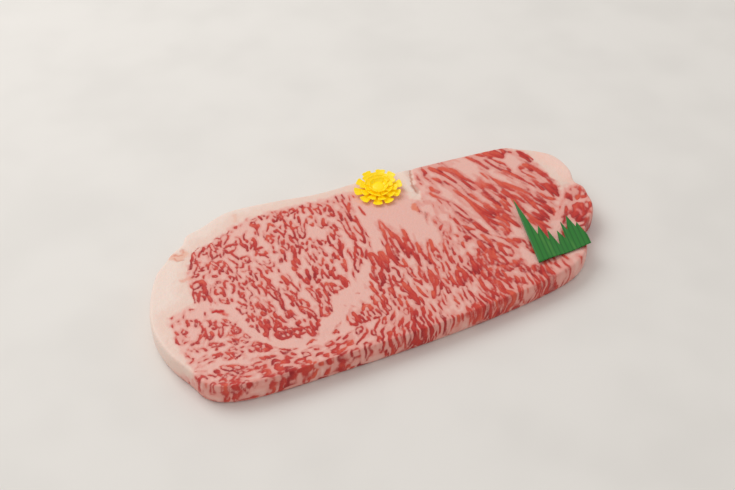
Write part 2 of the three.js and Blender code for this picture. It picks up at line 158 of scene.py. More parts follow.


# The flecks, drawn one by one, muscle by muscle: the round and the front one on the left, the columns of
# flecks beside the round one, and so on to the tail. A row is a half width, then the x and y of each
# point from the upper end on.
PLAIN_FLECKS: list[Row] = [
    # The round muscle
    (1, -89.4, 33.4, -89.3, 31.2, -90, 29), (0.45, -85.3, 34.2, -86.3, 32.6, -87.4, 30.5),
    (0.4, -83.2, 34.3, -84.3, 33), (0.5, -82.8, 31.8, -83.6, 30.8, -84.6, 31.2),
    (0.55, -89, 28.5, -89.2, 26, -90, 24, -91.5, 21.8, -92.5, 20.5, -92.6, 19),
    (1.1, -94, 18, -92.4, 18.5, -91.2, 18.9), (0.5, -89.4, 25, -88.7, 22.5, -88.5, 21, -87.4, 20.6),
    (0.5, -90, 20.8, -88, 20.3), (0.5, -85.6, 20.5, -84.9, 22.5, -83.4, 23.8),
    (1.2, -82.7, 24.2, -81.4, 22.6, -80.4, 20.8),
    (0.7, -80.4, 23, -78.4, 23.6, -77.2, 22.6, -76.4, 20.5, -76.2, 18.5, -75.4, 16, -75, 13.4),
    (0.4, -81, 19.5, -81.2, 15), (1.1, -79.2, 37.4, -79.3, 35, -79, 32.6, -78.6, 31.4),
    (0.7, -77.6, 35.6, -76.8, 34.6, -75.3, 35, -74.8, 36.8), (0.6, -77.3, 33.5, -77.2, 32),
    (0.5, -80, 34, -81, 31, -81.6, 28.5, -81.3, 26.6, -80.2, 26.9, -79, 27.3, -78, 29.3, -78.3, 31),
    (0.45, -69, 39.4, -70.4, 37, -72, 35.3, -73.6, 33.6),
    (0.8, -73.6, 31.6, -72, 32.2, -70.6, 32.4, -68.6, 32.2, -67.4, 31.6), (0.9, -71, 32.6, -70.8, 31.4),
    (0.5, -68, 33, -66.6, 34.3), (0.6, -65.8, 36.6, -64.8, 36, -64.6, 33.5, -65, 31.6),
    (0.4, -74.3, 24, -73, 21.5, -71.8, 19.5, -71, 17.5),
    (0.55, -67.8, 22, -66.5, 21.6, -65, 22, -64.4, 20.5, -64.8, 18.5, -66, 17, -67, 17.3),
    (0.6, -66.7, 20, -66.4, 17.6), (0.75, -62.4, 33, -61.4, 32, -61.9, 31.2),
    (0.4, -60.4, 30.4, -61, 27.5, -61.6, 26),
    (0.85, -57.8, 32.7, -58, 30, -58.8, 27.6, -59.6, 25.6, -60.6, 24.5),
    (0.8, -60.6, 24.7, -58.6, 24.7, -56.4, 24.6), (0.45, -58.6, 24, -58.6, 22.8),
    (0.5, -59.8, 23.5, -59.4, 21, -58.6, 19.4, -57.4, 19),
    (0.45, -58.4, 20.4, -57, 19.6, -56.2, 18.2, -55.4, 16.6),
    (1.3, -56.3, 42.3, -54.8, 41, -54.1, 39.8, -54, 38.4), (0.4, -53.8, 47, -52.8, 46.2, -54.4, 46.1),
    (0.45, -45.7, 45.3, -47.1, 43.4), (0.45, -48.2, 38.4, -49.2, 36, -50.2, 34.6),
    (0.65, -38.3, 46.3, -39.3, 44.2, -40.6, 43, -42.4, 43, -43.2, 44.4),
    (0.65, -39.5, 43.4, -39.2, 42, -40.2, 41, -40.9, 39.8), (0.6, -46.7, 33.8, -45.8, 32.2),
    (0.45, -46, 34, -45, 33.8, -44.2, 31.5, -43.6, 29, -43.6, 27.2),
    (0.35, -42, 36.2, -43.2, 34.6, -43, 33.2), (0.4, -40, 34, -41.4, 31.4, -42.4, 29.2),
    (0.6, -36, 37.6, -37, 35.6, -37.6, 33, -37.6, 31, -37.4, 29, -37.8, 26.6, -38.6, 25, -39.6, 25.1, -41,
     27.8), (0.45, -41.4, 27, -40.6, 24, -40.2, 21, -40, 18.4),
    (0.5, -28.4, 35.2, -30.4, 33, -31.4, 30.6, -31.8, 28.4, -32.8, 25.4, -33.8, 23.4, -35, 22.8, -35.8,
     24.4, -35.8, 27), (0.5, -32.4, 41.6, -33, 40.4, -33.7, 38.1),
    (0.4, -34.5, 44.2, -33.6, 45.8, -32, 45.6, -31.3, 44, -32.5, 43, -34, 42.6),
    (1.1, -51.4, 19.5, -50.9, 18.5), (0.6, -46.6, 21.4, -45.6, 19.6, -45.2, 17.9),
    (1.1, -41.8, 19.6, -42.3, 16.6, -42.9, 13.4, -43.3, 11),
    (0.45, -33.4, 21.2, -34.2, 19, -34.8, 16.6, -35.8, 14.5, -36.6, 14, -37.2, 16, -37.8, 17.8, -38.8, 16.5,
     -40.3, 13.2), (0.45, -32.3, 17.2, -32.8, 14.8), (0.35, -31.2, 16.2, -31.2, 12),
    (0.6, -36.4, 20.2, -36.2, 18.8), (0.55, -62.1, 17.9, -61.8, 16),
    (0.45, -94.6, 14.1, -95.8, 12, -96.4, 9, -97.2, 5, -97.6, 1.4),
    (0.45, -94.8, 13.9, -93.4, 14.5, -92, 14.3), (0.9, -92.2, 14, -90.5, 13.6, -89.8, 12, -90.1, 9),
    (0.85, -91.7, 9.2, -90.5, 8.6), (0.3, -95.9, 8.2, -95.3, 7),
    (0.45, -93.2, 7.6, -94.2, 5.5, -95.2, 3, -96, 0.8), (0.35, -95.8, 6.2, -95.2, 4, -95.8, 1.6),
    (0.75, -90.6, 2.8, -90.2, 1, -90.4, -0.6),
    (0.35, -85.4, 9.9, -84.8, 9.3, -85.3, 8.2, -86.3, 7.3, -86.4, 9), (1, -84.3, 15, -83.1, 14.3),
    (0.4, -85.8, 6, -86.8, 4.6, -86.9, 3), (0.6, -83.9, 6.8, -82.8, 5, -82.5, 3, -83.1, 0.6),
    (0.8, -84.4, 3, -83.2, 2, -83.3, 0.2), (1.15, -85.3, -2.6, -84, -3.7, -82.9, -4.6),
    (0.5, -78.9, 8.9, -80, 9.9, -81, 8, -81.4, 6, -81.2, 4.2),
    (0.55, -78.1, 7, -77.2, 5.4, -77.4, 3.4, -78.3, 1.6, -79, 0.6),
    (0.4, -77.9, 11.4, -76.7, 12.1, -75.6, 10.5, -76, 8.8, -76.9, 8),
    (0.35, -74, 11.8, -74.4, 9.6, -74.5, 7.8), (0.4, -73.5, 12.5, -72.6, 10.6, -72.3, 8.4),
    (0.45, -76.6, 17, -77.6, 15.2, -77.3, 14), (0.5, -74.2, 6.2, -74.4, 3.4, -74, 1.8, -73.3, 0.2),
    (0.55, -72.9, 5.2, -71.8, 3.4),
    (0.5, -73.7, -1.3, -74.8, -1, -75.8, -2, -76.4, -3.4, -75.8, -4.4, -74.8, -3.6, -74.1, -2),
    (0.5, -78.7, -5.6, -77.4, -7.6, -76.2, -9, -75.4, -10, -76.2, -11.4, -77.3, -10.9),
    (0.35, -78.5, -9.6, -77.2, -8.8), (0.6, -72.3, 16.4, -70.8, 15.9, -69.7, 15.4, -68.5, 17.2),
    (0.5, -66.3, 15.2, -66.8, 13.6, -67.2, 12), (0.3, -69.5, 9, -70.3, 6.8),
    (0.55, -68.8, 6.8, -69.5, 4.6, -68.2, 5, -67.3, 4), (0.75, -68.8, 3.4, -68.6, 1.4, -67.7, -0.4),
    (0.5, -65.9, 0.7, -64.8, -1, -64.2, -3.5, -64.4, -6, -65.4, -7.5, -66.2, -6.8),
    (0.6, -63.2, 12.7, -62.3, 10, -62, 7.6),
    (0.95, -62.3, 7.8, -62.3, 6, -61.6, 3.8, -60.4, 2, -61.2, 0, -60.5, -2.4, -60, -4.8),
    (0.4, -62.4, -1, -63, -2.2, -62.2, -3.4), (0.6, -71.1, -10.2, -71.2, -13.8),
    (0.9, -69.7, -9.8, -69.3, -12, -69.4, -14.2), (0.4, -61.5, 14.8, -60.2, 13.4, -59, 12.7),
    (0.8, -58.6, 11.2, -57.2, 9.5, -56, 9.6, -54.6, 10.5), (0.65, -57.1, 9.2, -57, 7.2),
    (0.4, -58.3, 15.2, -57.8, 13.1, -56.6, 12.4, -55.6, 13.1, -55.5, 14.8), (0.45, -54.5, 10.4, -54.1, 12.8),
    (0.45, -58.5, 11.4, -58.9, 12.9), (1.15, -43.6, 12, -43.2, 9, -42.8, 6.4),
    (0.8, -45.4, 9.6, -45.3, 7, -44.6, 4.2), (1.15, -53.5, 2.2, -53, -0.4, -52.6, -2.6, -52.3, -4.2),
    (0.6, -55.5, -1, -54.8, -2), (0.35, -51.2, -3, -50.6, -5, -50, -7.2), (0.5, -49.8, -7.4, -49.3, -10.4),
    (0.5, -46, 2.3, -46.3, 0, -46, -1.6, -44.9, -2.7, -45, -0.8, -45.8, 0.6),
    (0.55, -44.9, -3, -44.6, -5.4, -43.6, -7.7), (0.55, -43.2, -3.6, -42.6, -5.4, -43, -7.6),
    (0.55, -36, 1.8, -36.4, -1, -37.5, -3.4), (0.5, -35.4, 9.8, -36.6, 7.6, -37.6, 6, -38.1, 4),
    (0.4, -35.9, 8.4, -35.4, 6.6, -35.4, 4.8), (0.45, -33.6, 8.2, -33.9, 5.8),
    (0.55, -29.3, 13.7, -28.9, 11, -28.8, 9), (0.9, -28.7, 9, -28.2, 7),
    (0.45, -34.2, -2, -35, -4, -35.7, -6.8), (0.5, -34, -3, -33.4, -6, -33, -8),
    (0.55, -31, -3.8, -31.3, -6.4), (0.5, -29.6, -4.6, -30, -7, -30.6, -9.6),
    (0.75, -28.1, -2.2, -28.8, -3.9, -29.7, -4.4), (0.85, -39.1, -8.3, -37.8, -7.4),
    (0.35, -39.6, -4.6, -39.5, -7), (0.35, -38, -6.6, -37.3, -7.6), (0.6, -37.6, -9.6, -38, -11.8),
    (0.45, -56, -5.8, -55.5, -7.6), (0.5, -56.4, -9, -55.3, -11, -54.8, -14),
    (0.6, -53, -8.6, -52.4, -11, -52.1, -14), (0.45, -53.6, -12, -54.6, -15.4, -55, -18.2),
    (1.2, -45, -10.3, -44, -12.4, -43.4, -14.4, -43.5, -17, -43.4, -19.2),
    (0.6, -41.6, -12.6, -41, -15, -41, -18), (1.1, -34.5, -12, -34.4, -14, -34.2, -17),
    (0.5, -27, -8.9, -26, -11, -25.8, -13.4, -26.4, -16, -27.5, -16.6, -28, -14.4, -27.8, -11.6, -27.1,
     -9.4), (0.4, -26.8, -11, -26.8, -14.8), (0.6, -27.9, -16.4, -26.3, -16.6),
    (0.55, -30, -15.2, -29.4, -17, -31.5, -17.5, -32.2, -17.1), (0.5, -77, -16.2, -76, -18, -76, -20.2),
    (0.4, -78.4, -17.8, -77.4, -19, -78.5, -20.4), (0.4, -79, -14.2, -78.2, -14),
    (0.4, -75, -15.3, -74.8, -17.5, -73.6, -18.2, -74, -20.8), (0.75, -77.8, -22.3, -76.8, -23.5),
    (0.5, -73.4, -19.8, -72.3, -22, -72.4, -24),
    (0.9, -73.5, -22.4, -72.6, -24.6, -71.8, -27, -71.9, -29, -72.3, -30.6), (1.2, -73.6, -29.6, -72.6, -31),
    (0.5, -71, -24, -70.4, -27.8), (1.2, -70.4, -16.8, -69.7, -18.4, -68.9, -18.4),
    (0.45, -70.2, -21, -69, -22, -69, -24, -70.3, -23.7, -71, -22.2, -70.4, -21.2),
    (0.4, -69.1, -24, -69.4, -25.6), (0.45, -64.6, -13.6, -63.8, -16, -63.8, -18, -64.7, -18.5),
    (0.9, -65, -19.8, -64.8, -21.4, -64.2, -23), (0.65, -63.6, -22.2, -63.2, -24, -61.9, -26.8),
    (1, -66, -24.3, -65.2, -25.8), (0.55, -66, -25.6, -66.8, -27, -68, -28.3, -68.1, -29.6),
    (0.5, -64.6, -26, -65, -28.2), (0.4, -67.6, -28, -65.4, -28.3), (0.4, -65.1, -29, -63.9, -30.5),
    (0.5, -63, -28.9, -62.2, -31, -60.8, -31.2),
    (0.65, -69, -31.8, -68.6, -34, -67, -35.4, -65, -36, -63, -35.8, -61.5, -35),
    (0.45, -65.4, -31.4, -64.8, -33, -64.2, -35.2), (0.4, -63, -32, -62.4, -34.8),
    (0.3, -66.4, -32.2, -65.8, -33.1), (0.45, -60.6, -32, -60, -33.8),
    (0.6, -60.9, -34.8, -60, -36.8, -58.6, -36.3, -57.8, -35), (0.55, -57.7, -36.3, -55.9, -36),
    (0.55, -59.1, -31.9, -58, -33, -57, -34.4, -56.2, -32.9), (0.4, -56.8, -31.6, -55.6, -33, -55.1, -34.2),
    (0.5, -60.2, -20.2, -60.2, -22, -60.6, -23.6, -59.6, -24.5, -58.8, -22.6, -58.6, -20.4),
    (0.7, -57.5, -20.4, -57, -22.4, -55.9, -24.8), (0.35, -57.6, -25, -57, -27),
    (0.5, -55.4, -11.8, -54.8, -13.6), (0.6, -52.1, -12, -52.6, -14.6, -53, -17, -53, -19.6),
    (0.5, -51, -15.8, -50.8, -19), (1.3, -52.3, -20.6, -51, -22, -49.6, -24, -48.5, -26, -47.9, -28.2),
    (0.7, -53.1, -20.2, -52.6, -23, -51.7, -25.2), (0.35, -51.7, -28.8, -51.4, -27.4),
    (0.6, -51.2, -30.4, -51.4, -33, -50.8, -35.6, -50, -36.7, -49.2, -34.8, -48.8, -32.8),
    (0.4, -48.2, -32.4, -48, -34.8),
    (0.5, -54.2, -33.6, -54.4, -36, -54, -38.4, -52.8, -39.7, -51.7, -38.6, -52.5, -36, -53, -34),
    (0.9, -53.8, -38.7, -52.3, -39.5), (1, -42.4, -21.8, -43.1, -24.3),
    (0.6, -43.8, -25, -44.6, -27.6, -45.5, -30), (0.6, -41.2, -24.8, -41.4, -27, -41.3, -29),
    (1.1, -40, -13.4, -38.9, -16, -38.7, -19, -39.2, -21.4),
    # The front muscle
    (0.5, -107.4, -12.5, -106.6, -14, -106.1, -15.4, -107.9, -15.8, -108.3, -14.4, -107.5, -12.8),
    (0.7, -108, -15.6, -106.2, -15.5), (0.6, -104.1, -7.8, -104.6, -9.6, -103.8, -11.6),
    (0.5, -102.7, -8.6, -102, -9.6), (0.45, -98.9, -13.8, -98.8, -16, -99.8, -17.8),
    (0.5, -97.7, -16, -98.2, -18.6, -98.2, -21, -98.2, -22.8), (0.45, -98.5, -18.8, -99.5, -20.8),
    (0.6, -96.1, -19.2, -95.5, -21.6, -96.3, -23.1, -97.9, -23.4),
    (0.6, -101.4, -18.7, -100.8, -20, -101.8, -21.6),
    (0.65, -101.8, -20.3, -102.6, -22, -103.9, -22.8, -102.9, -23.5),
    (0.7, -96.1, -11.3, -94.8, -12.4, -94.5, -14.4, -95.7, -15.7),
    (0.6, -93.7, -15.4, -92.7, -16, -92.4, -17.6, -93.6, -18.1, -94.7, -16.9), (0.4, -92, -18.2, -90.6, -18),
    (0.65, -88.2, -14.2, -87.2, -15.4, -86.4, -16.4, -85.9, -17.2),
    (0.5, -89.7, -15.4, -89, -17.4, -87.4, -18.5),
    (0.5, -92.2, -19.4, -93, -22, -92.8, -24.1, -91.6, -23.6, -90.8, -21.8, -90.4, -19.6),
    (0.5, -86.6, -20.6, -85, -19.9, -83.4, -21.2, -82.5, -23.4, -83.6, -24.7, -85.2, -25.4, -86.6, -24, -87,
     -22.2), (0.7, -85.6, -21, -85.2, -23.2, -84.1, -22), (0.4, -86.1, -18.4, -85.3, -19.8),
    (0.7, -90, -27.6, -88.8, -28.8, -87.6, -30.5, -86.7, -30.7),
    (1.25, -82.1, -26.6, -81.5, -28.4, -80.6, -29.1), (0.8, -84.6, -29.8, -83.1, -31, -82, -31.1),
    (0.45, -105.8, -25.9, -105.2, -27, -104.6, -28.2), (0.6, -101.5, -28.1, -101, -29),
    (0.5, -98.5, -26.8, -97, -26.1, -95, -26.8, -93.4, -27.8, -92.5, -28.9, -94.4, -28.9, -96.2, -28.6, -98,
     -27.9), (0.4, -99.7, -33.5, -98.6, -32.7, -97.5, -33.6, -98.2, -34.6, -99.4, -34.4),
    (0.5, -96.9, -34.5, -97, -33, -95.8, -32.8, -94.9, -34, -96, -35.1),
    (0.8, -91.5, -32.8, -89.6, -32.1, -88.4, -33, -87.9, -34.3),
    (0.75, -93.1, -33.5, -92, -35.2, -91, -37, -89.9, -38.8),
    (0.45, -92, -34.2, -90.3, -35, -90.2, -36.1, -91.6, -36.6), (0.45, -89.2, -35.5, -88.4, -35.8),
    (0.5, -83.1, -35.3, -82.8, -37.2, -81.4, -38.2, -80.6, -37),
    (1.4, -80.2, -34.2, -78.6, -33.7, -76.9, -34.6),
    (0.6, -80, -36.2, -79.4, -38.4, -77.4, -39.5, -75, -39.9, -73.4, -39.4, -73.6, -37.4, -74.7, -35.6, -76,
     -35), (0.6, -77, -35.4, -77.6, -37.6), (0.6, -79.6, -36, -78, -38.6),
    (0.5, -110, -40.9, -109.4, -43, -108.7, -44.4, -108, -43),
    (0.65, -107.3, -42, -106, -43.4, -104.9, -44.8), (0.5, -104.2, -42.8, -102.8, -44, -101.5, -45.1),
    (0.7, -100.1, -44.5, -98.4, -45.8, -97, -46.8), (0.5, -96.5, -45.5, -94.3, -46.7),
    (1.3, -91.8, -42.9, -89.9, -44.4), (0.55, -77.7, -42.4, -75.9, -44.2),
    (0.45, -70, -40.8, -68, -42, -66, -42.9, -65.5, -43.8, -67.6, -44.1, -69.5, -43.8, -70.1, -42.4),
    (0.55, -55.7, -42.9, -54.9, -42.4), (0.85, -43.8, -41.5, -42.2, -40.5, -41.4, -42.2),
    # The columns beside it
    (0.4, -27.6, 40.4, -27.7, 42.4, -27, 44, -25.6, 44.6, -24.3, 43.4, -24, 41, -23.5, 39.4),
    (0.57, -23.6, 39.8, -23.7, 37.9),
    (0.44, -21.5, 41.2, -19.6, 41.2, -19.1, 39, -20, 36.3, -21, 38, -21.3, 40),
    (0.48, -19.1, 44.7, -17.6, 43.4, -17.1, 41.9), (0.4, -16.7, 43.9, -15.2, 42.5),
    (0.4, -14.6, 41.8, -16, 39.8, -17, 37.2), (0.35, -17.2, 39.4, -18, 36.8),
    (0.48, -14.4, 42, -13, 39.6, -12.8, 37, -13.3, 34), (0.7, -14.9, 34.8, -14.7, 33, -13.7, 32.8),
    (0.44, -10.3, 43.5, -9.7, 41.8), (0.53, -17, 34.5, -16.5, 32.9),
    (0.7, -20, 32.5, -21, 30.4, -21.8, 28.4, -22.2, 26.8), (1.14, -21.7, 28.6, -20.3, 27.6),
    (0.44, -18.8, 29.6, -19.6, 26.8), (0.44, -24.5, 28.9, -23.6, 26.6, -22, 26),
    (0.44, -19, 26, -18.6, 23.8),
    (0.48, -17.7, 25.4, -16.6, 23.6, -16.8, 22, -18, 22.4, -18.6, 20, -20, 18.6, -20.5, 16.4),
    (0.35, -17.1, 26.2, -16, 22), (0.7, -18.3, 20.4, -19.3, 18.4), (0.44, -17.8, 19, -17.2, 16.6),
    (0.75, -18.7, 14, -19, 12.7), (0.35, -20, 13.2, -20.2, 9.4), (0.35, -24.8, 16.5, -25.9, 14.6),
    (0.75, -23.9, 13, -22.7, 12.5), (0.53, -22.8, 11.8, -22, 8, -21.8, 5, -21.2, 2.8),
    (0.88, -10.7, 35, -10.2, 33, -10.5, 31), (0.35, -9.4, 29.2, -9.8, 25, -10.2, 20, -10.5, 16),
    (0.4, -12.2, 23.8, -12.6, 19, -12.2, 14, -11.5, 12), (0.7, -10.2, 17.2, -10, 14.4, -10.4, 11.2),
    (0.66, -12.2, 15.2, -11.4, 12.8), (0.44, -11.7, 11.2, -12, 8.4, -11.6, 6),
    (0.44, -12.8, 7.2, -13.6, 4, -13.5, 0.8), (0.53, -11.7, 6.2, -10.5, 5, -11, 2.6, -12.1, -0.8),
    (0.62, -4, 28.2, -4.2, 25, -4.6, 21, -4.5, 18, -5.6, 14), (0.66, -6, 25.8, -5.1, 24.4),
    (0.48, -8.5, 11.2, -7.4, 7.8), (0.79, 0.6, 34.2, 0.8, 30, 1.4, 26.8),
    (0.4, -14.7, 0.6, -14.7, -2.4, -15.1, -4.6, -16.2, -6.8, -17.3, -9.2, -18, -10),
    # The middle muscle
    (1.32, 3, 3, 1.5, -2, 1.4, -8, 2, -12.6), (0.6, 5.8, 6.2, 5.4, 0, 6.1, -5.2),
    (0.83, 12, 3.2, 11.8, -4, 12.5, -9, 12.5, -14, 12, -18.4),
    (0.45, 14.5, 1, 14, -4, 13.6, -9, 13.2, -14.2), (0.88, 10.3, 2.4, 10.5, -2, 10.3, -5),
    (0.65, 24.4, -8.8, 24, -14, 23.4, -18.2), (1.1, -6.7, -0.8, -5.8, -4, -5.8, -8.6, -6.7, -10.7),
    (1.1, -3.5, -1.8, -3.9, -7, -4.5, -11, -4.5, -15.2), (0.99, -5.6, -6, -4.2, -8.6),
    (0.55, -13.3, -13.2, -13.8, -16, -12.9, -18.4, -12, -21),
    (0.83, -10.3, -8.8, -11.2, -12, -11.4, -15, -11.6, -18.2), (0.99, -8.4, -0.6, -8.8, -5, -9.5, -8.8),
    (0.5, -11.4, -25.4, -12.1, -27.8), (0.65, -5.2, -17.8, -6, -21, -6.4, -24, -7.4, -28),
    (0.99, -8.2, -26.2, -7.8, -28.6, -8.3, -32), (0.94, -3.6, -18.8, -3.9, -22, -2.5, -24.2),
    (0.45, -0.1, -22.6, -1.3, -24.2), (1.7, -0.7, -25.8, -0.5, -30, 0, -34, 0.5, -40),
    (0.88, -2.6, -26.8, -3, -29.6, -1.9, -31.2), (0.55, -2.7, -33.8, -1.9, -36.2),
    (0.6, -10.7, -31.8, -10.4, -36.8), (0.45, 4.7, -15.8, 4, -20, 4.4, -23.2),
    (0.65, 5, -25, 6.2, -27.2, 7, -29.6, 7.9, -26.4), (0.88, 2.3, -36.8, 3.1, -40.2),
    (0.88, 9.4, -21.8, 9.2, -25, 10, -28, 10.6, -31.2), (0.5, 12, -21.8, 11, -25, 11.5, -28.2),
    (2, 14.4, -23.2, 13.6, -27, 13.4, -31, 12.7, -35, 11, -38.4),
    (0.65, 18.4, -20.8, 17.4, -25, 16.6, -30, 16.9, -36, 16.3, -39.4),
    (0.4, 22.4, -19.8, 21.4, -26, 20.4, -32.2), (0.94, 22.9, -29.8, 22, -33, 20.5, -36.2),
    (0.5, 24.6, -19.8, 24.4, -26.2), (1.1, 25, -31.8, 24.4, -36, 22.5, -37.8),
    (0.6, 18.5, -35.8, 17.9, -39.4), (0.88, -16, -27.8, -15.8, -31, -15.4, -34, -15.6, -35.8),
    (0.45, -19, -27.4, -19.3, -29), (0.5, -16.8, -35.6, -15.8, -38, -15.6, -41.2),
    (0.88, -13.6, -28.8, -13.3, -31.6, -14, -34.6), (0.88, -8.6, -25.8, -8.4, -30, -8.2, -32.2),
    (0.88, -34, -40, -31.5, -40.9), (0.99, -31, -33.4, -30.4, -36, -30, -38.6, -29.5, -41),
    (0.5, -32.3, -36.8, -31, -39.6), (0.6, -28.5, -40.5, -26.7, -40.9), (0.35, -27, -33.8, -26.4, -37.2),
    (0.5, -25.6, -38.4, -25.2, -40.8), (0.35, -24, -34.8, -24.4, -37.4, -23.6, -39.2),
    (0.65, -20, -35.8, -19.4, -38, -19, -40.6), (0.55, -23.2, -40.5, -19.3, -40.9),
    (0.94, 34.7, 4.5, 33, 3, 31.7, 0.9), (0.5, 34.5, 0.5, 32.7, -1, 31.9, -2.8),
    (0.5, 32.5, -6.8, 31, -10, 30.6, -13.2), (0.99, 28.6, -17.8, 27.8, -20, 28, -22.8),
    (0.6, 31.4, -15.2, 31.7, -17.6), (0.88, 32.2, -18.8, 32, -21.6, 31.7, -23.6),
    (0.83, 26.7, -27.8, 25.6, -32.2), (1.1, 29.5, -28.8, 29, -33, 28.5, -36.2),
    (0.6, 31.5, -29.8, 31, -34, 30.8, -37.2),
    # The right muscle
    (1.5, 67.8, -1.6, 69.2, -6, 70.6, -10.6), (1.6, 78.9, 8, 79.2, 2, 79.6, -3),
    (1.8, 80, -5, 81.4, -11, 83, -18), (2.4, 47.7, -21, 49.8, -26.4, 52, -32),
    (2.2, 45.9, -33.5, 50.7, -36, 56.7, -34.8), (1.1, 42.6, -25.4, 41.4, -29, 40.2, -33),
    (0.8, 40.4, -24.6, 39.4, -28, 38.4, -32), (1.1, 28.2, -25.6, 29.6, -29.4, 30.8, -33.2),
    (1.3, 21.8, -31.2, 22.9, -34.9, 25.2, -37.4), (0.98, 37.6, -19.2, 37.8, -24),
    (0.6, 39.7, -21.8, 38.6, -26, 38, -29.2), (0.5, 41.7, -20.8, 40.6, -25, 40.6, -31, 39.9, -36),
    (1.7, 38.9, -32.8, 38.5, -36.3, 35.9, -37), (0.45, 45, 13.2, 45.6, 9, 47.4, 6, 48.1, 4.4),
    (0.35, 53.4, -10, 54.3, -13.2), (1.03, 53.5, -19, 54.2, -23, 55.1, -27.6),
    (1.4, 47.1, -13.8, 46.4, -17, 46.8, -20.2), (1.1, 42.9, -17.8, 44, -20.8),
    (0.98, 55.3, -18.2, 57, -21.4, 59.1, -23.6), (1.1, 44.5, -22.8, 44.2, -26, 43.3, -29.8),
    (1.3, 46.8, -23.2, 48.4, -24.4, 49.5, -27.2), (0.5, 46, -24, 46.2, -28, 46.7, -32.2),
    (0.5, 54.9, -25.8, 56.7, -29.6), (1.1, 42.9, -32.8, 44.4, -36, 46.4, -35, 47.1, -32.8),
    (1.4, 55.4, -34.8, 57, -33, 58.5, -35.2), (0.5, 60.5, -32.4, 61.9, -34.6),
    (1.1, 44.4, 49.3, 45, 46, 43.9, 44.2), (1.1, 61.9, 36.2, 63.9, 32, 65.5, 27.4),
    (0.35, 45, 9.2, 47, 3.6, 48.1, -0.2), (1.7, 58, 11.6, 59, 8, 60.4, 3, 61, -0.6),
    (0.6, 65.3, 17.8, 67, 13.6, 68.4, 10.6, 69.7, 6.8), (0.6, 65.3, 19.4, 66.6, 15.4, 67.6, 12),
    (1.4, 72, 24.6, 73, 20.6, 73.8, 16.8), (1.4, 71.5, 49.3, 73.8, 46, 75.6, 43, 76.6, 40, 78.3, 35.8),
    (1.3, 83, 46.2, 84.7, 43.2), (2.1, 83.4, 48, 87, 46.4, 89, 45, 90.5, 41.8),
    (1.03, 91.3, 42.8, 93.6, 45, 93.8, 48.2), (1.4, 85.2, 31, 87, 27.6, 88.6, 25, 90.4, 21, 92, 16),
    (0.4, 86.4, 37.2, 84.4, 34), (1.4, 84.8, 15.8, 87.8, 12.2, 89, 9.2, 88.6, 6),
    (1.1, 77.5, 17.2, 78.6, 12, 79.6, 7, 79.7, 1.8), (1.2, 80.3, 11.2, 82, 8.4, 83.6, 5.2, 84.8, 1.4),
    (0.8, 75.7, 15.8, 77.1, 10.8), (1.4, 96.2, 21.8, 97.2, 17.6, 97.5, 12, 97.3, 9.4),
    (0.9, 93.2, 8.4, 92.6, 5.4, 92.8, 2, 93.6, -0.6), (0.9, 87.2, 3.6, 86.9, -2, 87, -8, 86.7, -13.6),
    (0.6, 64.9, 5.2, 66.1, 1.8), (1.5, 64.5, -19.4, 66.6, -21.4, 68.1, -22.7),
    (1.5, 68.5, -0.8, 69.6, -6, 71.5, -11.8), (0.92, 78.5, 0.2, 80.5, -4.8),
    (1.4, 78.5, -9.8, 80.6, -13.6, 82, -17, 81.6, -22.2), (0.92, 82.9, -11.8, 85, -17, 86.5, -18.8),
    (0.6, 96.2, -1, 97, -3, 97.4, -5.4), (1.7, 101.3, 28.4, 103, 24, 104, 20, 105.4, 16, 106, 12.8),
    # The tail
    (1.1, 114.5, -8.2, 115.2, -10.2, 114.2, -12.2), (1, 100.6, -25.6, 99.6, -28),
]
